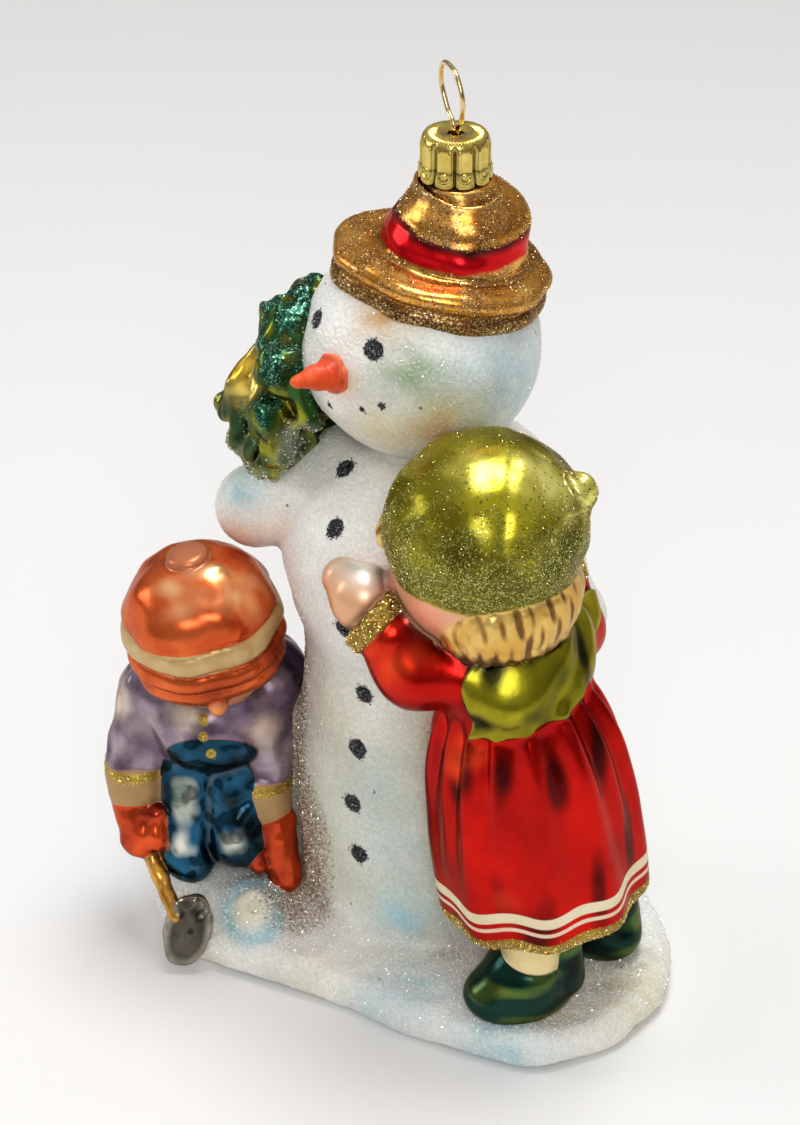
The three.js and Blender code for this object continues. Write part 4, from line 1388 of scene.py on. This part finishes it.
def petal(columns=28, per_span=7):
    """One tenth of the cap, closed but for its two side edges, about the origin's Z axis."""
    half = math.pi / PETALS
    half_width = half * CAP_RADIUS
    outer = through([
        (CAP_FLARE - 0.05, 0), (CAP_FLARE - 0.15, 0.8), (CAP_RADIUS + 0.12, 1.9), (CAP_RADIUS, 2.6),
        (CAP_RADIUS, 4.4), (CAP_RADIUS - 0.02, 5.6), (CAP_RADIUS - 0.3, 6.3), (CAP_RADIUS - 0.9, 6.68),
        (CAP_RADIUS - 1.8, 6.72), (CAP_HOLE, CRIMP_HEIGHT),
    ], per_span=per_span)
    inner = outer[::-1] - np.array((CAP_WALL, 0))
    inner = np.array([(max(r, CAP_HOLE), h - (CAP_WALL if h > 5.8 else 0)) for r, h in inner])
    loop = np.vstack([outer, inner])
    verts, groove = [], []
    for r, h in loop:
        for u in np.linspace(-1, 1, columns):
            wall = min(max((CAP_SHOULDER - h) / 1.2, 0), 1)
            arc = 1 - math.sqrt(max(0, 1 - 0.93 * u * u))
            z = h + 0.8 * arc * max(0, 1 - h / 3)
            x = u * half_width
            dip = 0.34 * bell((1 - abs(u)) * half_width, 0, 0.24)
            swell = 0.16 * math.sqrt(max(0, 1 - u * u))
            bend = math.hypot(x, min(z - ARCH_FOOT, 0))
            arch = 0.17 * bell(bend, 0.78, 0.16) * min(max((5.5 - z) / 0.5, 0), 1)
            dot = 0.24 * math.exp(-(x * x + (z - DOT_HEIGHT) ** 2) / 0.05)
            crimp = 0.1 * math.cos(6 * math.pi * u) * bell(h, CRIMP_HEIGHT, 0.35) * (r > 2.6)
            radius = r + wall * (swell - dip + arch + dot)
            verts.append((radius * math.cos(u * half), radius * math.sin(u * half), z - crimp))
            # How strongly the finish paints shade here: in the grooves between flutes and beside each arch
            groove.append(wall * min(dip / 0.3 + 0.8 * bell(bend, 1.02, 0.11), 1))
    starts = [i * columns for i in range(len(loop))]
    faces = [
        (a + j, a + j + 1, b + j + 1, b + j)
        for a, b in zip(starts, starts[1:] + starts[:1]) for j in range(columns - 1)
    ]
    return np.array(verts), faces, groove


def make_cap(look):
    verts, faces, groove = petal()
    source = mesh_object("cap_petal", verts, faces)
    give(source, "groove", groove)
    material = metal_material("stamped_gold", look.gold, (0.6, 0.44, 0.08), 0.2, groove=True)
    cap = run_tree(petal_tree(), source, "fluted_cap", {"Petals": PETALS, "Finish": material})
    cap.data.transform(Matrix.Translation(Vector((*NECK_AT, CAP_BOTTOM)) * MM))
    bpy.data.objects.remove(source)
    finished(cap, "cap")


def make_wire(sizes):
    half = [
        (1.5, 122), (0.7, 130), (0.65, 134.4), (2.6, 136.2), (WIRE_WIDTH / 2 - 0.4, 139.6),
        (2.7, WIRE_TOP - 1.2),
    ]
    points = [(-x, 0, z) for x, z in half] + [(0, 0, WIRE_TOP - 0.4)] + [(x, 0, z) for x, z in reversed(half)]
    path = through(points, per_span=10) - np.array((0, 0, WIRE_FOOT))
    path = path @ turn_matrix((WIRE_LEAN, 0, 0)).T @ turn_matrix((0, 0, WIRE_SPIN)).T
    path = path + np.array((*NECK_AT, WIRE_FOOT))
    curve = bpy.data.curves.new("hanger_path", "CURVE")
    curve.dimensions = "3D"
    spline = curve.splines.new("POLY")
    spline.points.add(len(path) - 1)
    spline.points.foreach_set("co", np.c_[path * MM, np.ones(len(path))].ravel())
    source = bpy.data.objects.new("hanger_path", curve)
    bpy.context.collection.objects.link(source)
    material = metal_material("drawn_gold_wire", (0.85, 0.68, 0.34), (0.66, 0.48, 0.2), 0.16)
    wire = run_tree(wire_tree(), source, "hanger_loop", {
        "Wire Radius": sizes.wire_radius, "Sides": 14, "Finish": material,
    })
    bpy.data.objects.remove(source)
    finished(wire, "hanger_wire")


# What a user would change

class OrnamentSizes(bpy.types.PropertyGroup):
    snow_cell: bpy.props.FloatProperty(
        name="Snow mesh", description="Quad size on the snow", default=0.62 * MM, unit="LENGTH"
    )
    figure_cell: bpy.props.FloatProperty(
        name="Figure mesh", description="Quad size on the children, the hat and the tree", default=0.42 * MM,
        unit="LENGTH",
    )
    wire_radius: bpy.props.FloatProperty(
        name="Wire radius", description="Half the hanger wire's thickness", default=0.36 * MM, unit="LENGTH"
    )
    frost_per_mm2: bpy.props.FloatProperty(
        name="Frost", description="Glass grains on each square millimetre of snow", default=2.4
    )
    glitter_per_mm2: bpy.props.FloatProperty(
        name="Glitter", description="Flakes on each square millimetre of a glittered edge", default=14.0
    )


def colour_property(name, description, default):
    return bpy.props.FloatVectorProperty(
        name=name, description=description, default=default, size=3, min=0, max=1, subtype="COLOR"
    )


class OrnamentColours(bpy.types.PropertyGroup):
    snow: colour_property("Snow", "Tint over the whole snow", (1.0, 1.0, 1.0))
    red: colour_property("Red", "The girl's dress", (0.62, 0.005, 0.0015))
    olive: colour_property("Olive", "The girl's hat and shawl", (0.46, 0.4, 0.015))
    copper: colour_property("Copper", "The snowman's hat", (0.85, 0.38, 0.05))
    orange: colour_property("Orange", "The boy's hat and mittens", (0.85, 0.17, 0.04))
    fir: colour_property("Fir", "The tree", (0.03, 0.1, 0.02))
    blue: colour_property("Blue", "The boy's trousers", (0.015, 0.11, 0.21))
    gold: colour_property("Gold", "The cap and the gold glitter", (0.85, 0.66, 0.18))
    carrot: colour_property("Carrot", "The nose", (0.76, 0.06, 0.008))


# The operators

def chosen(context):
    """The sizes and the colours that the user set."""
    return context.scene.ornament_sizes, context.scene.ornament_colours


def gold_flakes():
    """The gold glitter that the edges of both children share."""
    return bpy.data.materials.get("gold_flakes") or flake_material(
        "gold_flakes", ((0.5, 0.33, 0.04), (0.85, 0.62, 0.14), (1.0, 0.92, 0.5)), 1.0, 0.18
    )


class ORNAMENT_OT_snowman(bpy.types.Operator):
    """Make the snowman and his patch of snow, with frost and coal dots"""

    bl_idname = "ornament.snowman"
    bl_label = "Snowman"
    bl_options = {"REGISTER", "UNDO"}

    def execute(self, context):
        sizes, look = chosen(context)
        piece = cast("snowman_on_snow", snow_figure(sizes.snow_cell / MM), snow_marks)
        finished(piece, "glass_body", snow_material(look))
        tones = ((0.85, 0.86, 0.84), (0.95, 0.95, 0.92), (1.0, 0.99, 0.96))
        frost = flake_material("glass_frost", tones, 0.1, 0.14)
        strewn(
            piece, "snow_frost", frost, "frost", sizes.frost_per_mm2,
            size=0.3, flat=0.4, tilt=0.9, seed=3,
        )
        tones = ((0.26, 0.19, 0.12), (0.6, 0.5, 0.38), (1.0, 0.95, 0.85))
        sand = flake_material("crease_glitter", tones, 0.6, 0.2)
        strewn(
            piece, "crease_glitter", sand, "crease", 11,
            size=0.4, flat=0.5, tilt=1.2, seed=4,
        )
        strewn(
            piece, "base_grains", frost, "grains", 2,
            size=0.46, flat=0.4, tilt=0.7, seed=13,
        )
        tones = ((0.008, 0.008, 0.01), (0.03, 0.03, 0.035), (0.3, 0.31, 0.33))
        soot = flake_material("coal_flakes", tones, 0.5, 0.25)
        strewn(
            piece, "coal_dots", soot, "coal", 26,
            size=0.34, flat=0.6, tilt=1.2, seed=5, full=0.25,
        )
        return {"FINISHED"}


class ORNAMENT_OT_hat(bpy.types.Operator):
    """Make the snowman's copper hat with its red ribbon and gold glitter"""

    bl_idname = "ornament.hat"
    bl_label = "Hat"
    bl_options = {"REGISTER", "UNDO"}

    def execute(self, context):
        sizes, look = chosen(context)
        piece = cast("copper_hat", hat_figure(sizes.figure_cell / MM), hat_marks)
        ground = coat(None, look.copper, (0.42, 0.15, 0.015), 0.88, 0.26)
        coats = [
            # Painted highlight where bright is, and painted shade where shade is
            coat("bright", (1.0, 0.62, 0.18), (1.0, 0.42, 0.06), 0.88, 0.2, soft=True),
            coat("shade", (0.24, 0.1, 0.04), (0.08, 0.025, 0.02), 0.8, 0.3, soft=True),
            coat("rim", (0.16, 0.065, 0.014), (0.05, 0.018, 0.005), 0.8, 0.34, soft=True),
            coat("ribbon", (0.85, 0.003, 0.01), (0.6, 0.002, 0.006), 0.75, 0.22, edge=0.25, wobble=0.3),
            coat("wine", (0.14, 0.001, 0.004), (0.05, 0.0, 0.002), 0.75, 0.24, soft=True),
            coat("knot", (0.06, 0.0, 0.003), (0.05, 0.0, 0.003), 0.6, 0.3),
        ]
        finished(piece, "glass_body", lacquered("copper_lacquer", ground, coats, GOLD_DUST))
        tones = ((0.2, 0.09, 0.02), (0.7, 0.4, 0.1), (1.0, 0.8, 0.4))
        gold = flake_material("hat_gold_flakes", tones, 1.0, 0.22)
        strewn(
            piece, "hat_glitter", gold, "gold", 14,
            size=0.17, flat=0.4, tilt=0.7, seed=6,
        )
        return {"FINISHED"}


class ORNAMENT_OT_fir(bpy.types.Operator):
    """Make the small fir tree with its teal glitter"""

    bl_idname = "ornament.fir"
    bl_label = "Fir tree"
    bl_options = {"REGISTER", "UNDO"}

    def execute(self, context):
        sizes, look = chosen(context)
        piece = cast("fir_tree", fir_figure(sizes.figure_cell / MM * 0.9), fir_marks)
        ground = coat(None, look.fir, (0.006, 0.022, 0.008), 0.75, 0.25)
        coats = [
            coat("lime", (0.3, 0.31, 0.015), (0.08, 0.11, 0.006), 0.85, 0.22, soft=True),
            coat("teal", (0.01, 0.09, 0.05), (0.003, 0.03, 0.018), 0.8, 0.28, soft=True),
            coat("yellow", (1.0, 0.85, 0.3), (0.8, 0.5, 0.03), 0.75, 0.25, soft=True),
            coat("foot", (0.4, 0.44, 0.14), (0.12, 0.17, 0.05), 0.3, 0.5, soft=True),
            coat("grit", (0.3, 0.33, 0.24), (0.1, 0.12, 0.08), 0.3, 0.5, soft=True),
        ]
        finished(piece, "glass_body", lacquered("fir_lacquer", ground, coats, FIR_DUST))
        tones = ((0.005, 0.09, 0.06), (0.03, 0.3, 0.2), (0.45, 0.85, 0.65))
        teal = flake_material("fir_teal_flakes", tones, 1.0, 0.22)
        strewn(
            piece, "fir_glitter", teal, "teal", 9,
            size=0.2, flat=0.4, tilt=0.8, seed=7,
        )
        tones = ((0.3, 0.33, 0.22), (0.6, 0.62, 0.5), (0.9, 0.9, 0.8))
        frost = flake_material("fir_frost", tones, 0.3, 0.3)
        strewn(
            piece, "fir_grains", frost, "frost", 5,
            size=0.36, flat=0.6, tilt=1.2, seed=8,
        )
        return {"FINISHED"}


class ORNAMENT_OT_girl(bpy.types.Operator):
    """Make the girl with her red dress, olive hat and shawl"""

    bl_idname = "ornament.girl"
    bl_label = "Girl"
    bl_options = {"REGISTER", "UNDO"}

    def execute(self, context):
        sizes, look = chosen(context)
        piece = cast("girl", girl_figure(sizes.figure_cell / MM), girl_marks)
        ground = coat(None, (0.9, 0.52, 0.3), (0.72, 0.34, 0.16), 0.4, 0.36)
        coats = [
            coat("cheeks", (0.95, 0.3, 0.2), (0.85, 0.22, 0.14), 0.3, 0.4, soft=True),
            coat("pearl", (0.97, 0.95, 0.9), (0.9, 0.85, 0.76), 0.55, 0.26, soft=True),
            coat("eyes", (0.03, 0.02, 0.015), (0.02, 0.015, 0.01), 0.0, 0.25),
            coat("brows", (0.3, 0.15, 0.05), (0.2, 0.1, 0.04), 0.0, 0.4),
            coat("mouth", (0.7, 0.08, 0.06), (0.6, 0.06, 0.05), 0.1, 0.35),
            coat("hair", (0.95, 0.68, 0.22), (0.72, 0.4, 0.07), 0.6, 0.3),
            coat("strand", (0.36, 0.16, 0.03), (0.12, 0.045, 0.008), 0.5, 0.33, soft=True),
            coat("dress", look.red, (0.4, 0.002, 0.001), 0.85, 0.25),
            # Painted shade on the dress
            coat("night", (0.14, 0.0005, 0.0005), (0.05, 0.0, 0.0), 0.85, 0.25, soft=True),
            # Painted highlights on the dress
            coat("glow", (1.0, 0.09, 0.02), (0.85, 0.035, 0.005), 0.8, 0.26, soft=True),
            coat("shawl", look.olive, (0.2, 0.18, 0.004), 0.8, 0.25),
            # Painted shade on the shawl
            coat("gloom", (0.05, 0.05, 0.003), (0.015, 0.018, 0.002), 0.8, 0.26, soft=True),
            coat("stripe_wide", (0.9, 0.8, 0.56), (0.8, 0.66, 0.4), 0.15, 0.4, edge=0.1),
            coat("stripe_thin", (0.9, 0.72, 0.52), (0.86, 0.56, 0.4), 0.15, 0.4, edge=0.1),
            coat("hat", look.olive, (0.2, 0.17, 0.005), 0.8, 0.28),
            # Painted shade on the girl's hat
            coat("dusk", (0.15, 0.125, 0.003), (0.045, 0.042, 0.002), 0.8, 0.3, soft=True),
            coat("lights", (0.95, 0.88, 0.25), (0.75, 0.68, 0.1), 0.75, 0.26, soft=True),
            coat("stocking", (0.9, 0.76, 0.4), (0.7, 0.52, 0.2), 0.6, 0.32),
            coat("boot", (0.006, 0.05, 0.035), (0.002, 0.009, 0.008), 0.8, 0.22),
            coat("swirl", (0.17, 0.23, 0.02), (0.02, 0.12, 0.05), 0.8, 0.24, soft=True),
            coat("cuff", (0.42, 0.26, 0.03), (0.2, 0.11, 0.015), 0.8, 0.4, edge=0.15),
            coat("trim", (0.42, 0.26, 0.03), (0.2, 0.11, 0.015), 0.8, 0.4, edge=0.15, wobble=0.4),
        ]
        lacquer = lacquered("girl_lacquer", ground, coats, LIME_DUST, mottle=80)
        finished(piece, "glass_body", lacquer)
        gold, thick = gold_flakes(), sizes.glitter_per_mm2
        strewn(
            piece, "girl_cuffs", gold, "cuff", thick,
            size=0.32, flat=0.4, tilt=1.0, seed=9, full=0.3,
        )
        strewn(
            piece, "hem_glitter", gold, "trim", thick,
            size=0.3, flat=0.4, tilt=1.0, seed=10, full=0.3,
        )
        tones = ((0.16, 0.16, 0.01), (0.6, 0.58, 0.12), (1.0, 0.96, 0.5))
        lime = flake_material("lime_flakes", tones, 1.0, 0.24)
        strewn(
            piece, "girl_hat_glitter", lime, "sparkle", 22,
            size=0.16, flat=0.4, tilt=0.8, seed=11,
        )
        return {"FINISHED"}


class ORNAMENT_OT_boy(bpy.types.Operator):
    """Make the kneeling boy with his shovel"""

    bl_idname = "ornament.boy"
    bl_label = "Boy"
    bl_options = {"REGISTER", "UNDO"}

    def execute(self, context):
        sizes, look = chosen(context)
        piece = cast("boy", boy_figure(sizes.figure_cell / MM), boy_marks)
        ground = coat(None, (0.85, 0.4, 0.2), (0.7, 0.26, 0.1), 0.35, 0.4)
        coats = [
            coat("beak", (0.95, 0.3, 0.07), (0.85, 0.2, 0.05), 0.3, 0.35, soft=True),
            coat("eyes", (0.03, 0.02, 0.015), (0.02, 0.015, 0.01), 0.0, 0.25),
            coat("brows", (0.3, 0.15, 0.05), (0.2, 0.1, 0.04), 0.0, 0.4),
            coat("mouth", (0.7, 0.08, 0.06), (0.6, 0.06, 0.05), 0.1, 0.35),
            coat("jacket", (0.44, 0.35, 0.4), (0.15, 0.1, 0.17), 0.6, 0.28),
            coat("cream", (0.9, 0.76, 0.62), (0.62, 0.48, 0.4), 0.6, 0.28, soft=True),
            coat("purple", (0.1, 0.05, 0.13), (0.03, 0.015, 0.05), 0.6, 0.28, soft=True),
            coat("trousers", look.blue, (0.003, 0.012, 0.02), 0.88, 0.18),
            # Painted highlights on the trousers
            coat("shine", (0.9, 0.92, 0.8), (0.12, 0.18, 0.15), 0.9, 0.18, soft=True),
            coat("sole", (0.08, 0.05, 0.03), (0.03, 0.02, 0.015), 0.5, 0.35),
            coat("hat", look.orange, (0.62, 0.08, 0.015), 0.75, 0.26),
            # Painted shade on the boy's hat
            coat("umber", (0.42, 0.05, 0.01), (0.25, 0.025, 0.006), 0.75, 0.27, soft=True),
            coat("lights", (1.0, 0.6, 0.3), (1.0, 0.36, 0.12), 0.75, 0.22, soft=True),
            coat("stripe", (0.72, 0.52, 0.24), (0.5, 0.32, 0.12), 0.45, 0.34, edge=0.1),
            coat("knob", (0.6, 0.2, 0.09), (0.38, 0.1, 0.04), 0.5, 0.36),
            coat("mitten", (0.85, 0.1, 0.02), (0.34, 0.025, 0.008), 0.78, 0.24),
            coat("cuff", (0.5, 0.32, 0.14), (0.38, 0.22, 0.08), 0.2, 0.5),
            coat("handle", (0.8, 0.42, 0.07), (0.35, 0.13, 0.02), 0.75, 0.28),
            coat("blade", (0.14, 0.125, 0.1), (0.02, 0.018, 0.014), 0.9, 0.22),
            coat("blade_rim", (0.62, 0.58, 0.5), (0.14, 0.125, 0.1), 0.9, 0.2, soft=True),
            coat("trim", (0.6, 0.42, 0.08), (0.35, 0.24, 0.04), 0.8, 0.4, edge=0.12),
        ]
        lacquer = lacquered("boy_lacquer", ground, coats, mottle=110, bump=0.00002)
        finished(piece, "glass_body", lacquer)
        thick = sizes.glitter_per_mm2
        strewn(
            piece, "boy_trim", gold_flakes(), "trim", thick,
            size=0.3, flat=0.4, tilt=1.0, seed=12, full=0.3,
        )
        return {"FINISHED"}


class ORNAMENT_OT_carrot(bpy.types.Operator):
    """Make the carrot nose with its rim of glue"""

    bl_idname = "ornament.carrot"
    bl_label = "Carrot nose"
    bl_options = {"REGISTER", "UNDO"}

    def execute(self, context):
        piece = cast("carrot_root", carrot_figure(NOSE_CELL), lambda q, normals, depths: {})
        finished(piece, "carrot_nose", carrot_material(context.scene.ornament_colours))
        return {"FINISHED"}


class ORNAMENT_OT_cap(bpy.types.Operator):
    """Make the fluted gold cap"""

    bl_idname = "ornament.cap"
    bl_label = "Cap"
    bl_options = {"REGISTER", "UNDO"}

    def execute(self, context):
        make_cap(context.scene.ornament_colours)
        return {"FINISHED"}


class ORNAMENT_OT_wire(bpy.types.Operator):
    """Make the wire hanger"""

    bl_idname = "ornament.wire"
    bl_label = "Wire hanger"
    bl_options = {"REGISTER", "UNDO"}

    def execute(self, context):
        make_wire(context.scene.ornament_sizes)
        return {"FINISHED"}


def make_floor():
    reach, level = 3000, -0.05
    verts = [(x * reach, y * reach, level) for x, y in ((-1, -1), (1, -1), (1, 1), (-1, 1))]
    floor = mesh_object("floor", verts, [(0, 1, 2, 3)], smooth=False)
    n = Finish("pale_floor")
    n.shade(Base_Color=n.grey(n.band(n.noise(6, 2), 0.3, 0.7, 0.84, 0.86)))
    floor.data.materials.append(n.shade(Roughness=0.6, IOR=1.3))


def make_sky():
    """A soft studio that is darker below, for the lacquers to reflect."""
    world = bpy.context.scene.world or bpy.data.worlds.new("studio")
    bpy.context.scene.world = world
    world.use_nodes = True
    tree = world.node_tree
    back = tree.nodes["Background"]
    rise = tree.nodes.new("ShaderNodeSeparateXYZ")
    tree.links.new(tree.nodes.new("ShaderNodeTexCoord").outputs["Generated"], rise.inputs[0])
    ramp = tree.nodes.new("ShaderNodeValToRGB")
    tree.links.new(rise.outputs["Z"], ramp.inputs[0])
    below, above = ramp.color_ramp.elements
    below.color = (0.24, 0.23, 0.22, 1)
    above.color = (0.8, 0.78, 0.75, 1)
    above.position = 0.8
    tree.links.new(ramp.outputs["Color"], back.inputs["Color"])
    back.inputs["Strength"].default_value = 0.64


def area_light(name, at, size, power, aim=(0, 0, 0.06)):
    light = bpy.data.lights.new(name, "AREA")
    light.shape = "DISK"
    light.size = size
    light.energy = power
    lamp = bpy.data.objects.new(name, light)
    bpy.context.collection.objects.link(lamp)
    lamp.location = at
    lamp.rotation_euler = (Vector(aim) - Vector(at)).to_track_quat("-Z", "Y").to_euler()


def make_camera():
    """The photo's camera."""
    level = math.cos(CAMERA_ELEVATION)
    back_way = Vector((
        math.sin(CAMERA_AZIMUTH) * level, -math.cos(CAMERA_AZIMUTH) * level, math.sin(CAMERA_ELEVATION)
    ))
    lens = bpy.data.cameras.new("camera")
    lens.sensor_fit = "AUTO"
    lens.sensor_width = 36
    lens.lens = FOCAL_PIXELS / LONG_SIDE_PIXELS * lens.sensor_width
    lens.clip_start = 0.01
    camera = bpy.data.objects.new("camera", lens)
    bpy.context.collection.objects.link(camera)
    camera.location = Vector(CAMERA_TARGET) + back_way * CAMERA_DISTANCE
    camera.rotation_euler = (-back_way).to_track_quat("-Z", "Y").to_euler()
    bpy.context.scene.camera = camera


class ORNAMENT_OT_stage(bpy.types.Operator):
    """Make the pale floor, the soft lights and the camera"""

    bl_idname = "ornament.stage"
    bl_label = "Stage"
    bl_options = {"REGISTER", "UNDO"}

    def execute(self, context):
        make_floor()
        make_sky()
        area_light("overhead", (0.03, 0.08, 0.8), 0.36, 3.5)
        area_light("front", (0.5, -0.62, 0.6), 0.4, 2.5)
        area_light("side", (-0.6, -0.35, 0.32), 0.3, 0.9)
        make_camera()
        context.scene.view_settings.view_transform = "Standard"
        return {"FINISHED"}


class ORNAMENT_PT_panel(bpy.types.Panel):
    """Lists the ornament's pieces, sizes and colours"""

    bl_idname = "ORNAMENT_PT_panel"
    bl_label = "Snowman Ornament"
    bl_space_type = "VIEW_3D"
    bl_region_type = "UI"
    bl_category = "Ornament"

    def draw(self, context):
        for operator in OPERATORS:
            self.layout.operator(operator.bl_idname)
        for group in (context.scene.ornament_sizes, context.scene.ornament_colours):
            for key in group.__annotations__:
                self.layout.prop(group, key)


OPERATORS = (
    ORNAMENT_OT_snowman, ORNAMENT_OT_hat, ORNAMENT_OT_fir, ORNAMENT_OT_girl, ORNAMENT_OT_boy,
    ORNAMENT_OT_carrot, ORNAMENT_OT_cap, ORNAMENT_OT_wire, ORNAMENT_OT_stage,
)
CLASSES = (OrnamentSizes, OrnamentColours, *OPERATORS, ORNAMENT_PT_panel)


def register():
    for item in CLASSES:
        bpy.utils.register_class(item)
    bpy.types.Scene.ornament_sizes = bpy.props.PointerProperty(type=OrnamentSizes)
    bpy.types.Scene.ornament_colours = bpy.props.PointerProperty(type=OrnamentColours)


def unregister():
    del bpy.types.Scene.ornament_colours
    del bpy.types.Scene.ornament_sizes
    for item in reversed(CLASSES):
        bpy.utils.unregister_class(item)


def main():
    register()
    for operator in OPERATORS:
        family, name = operator.bl_idname.split(".")
        getattr(getattr(bpy.ops, family), name)()


if __name__ == "__main__":
    main()
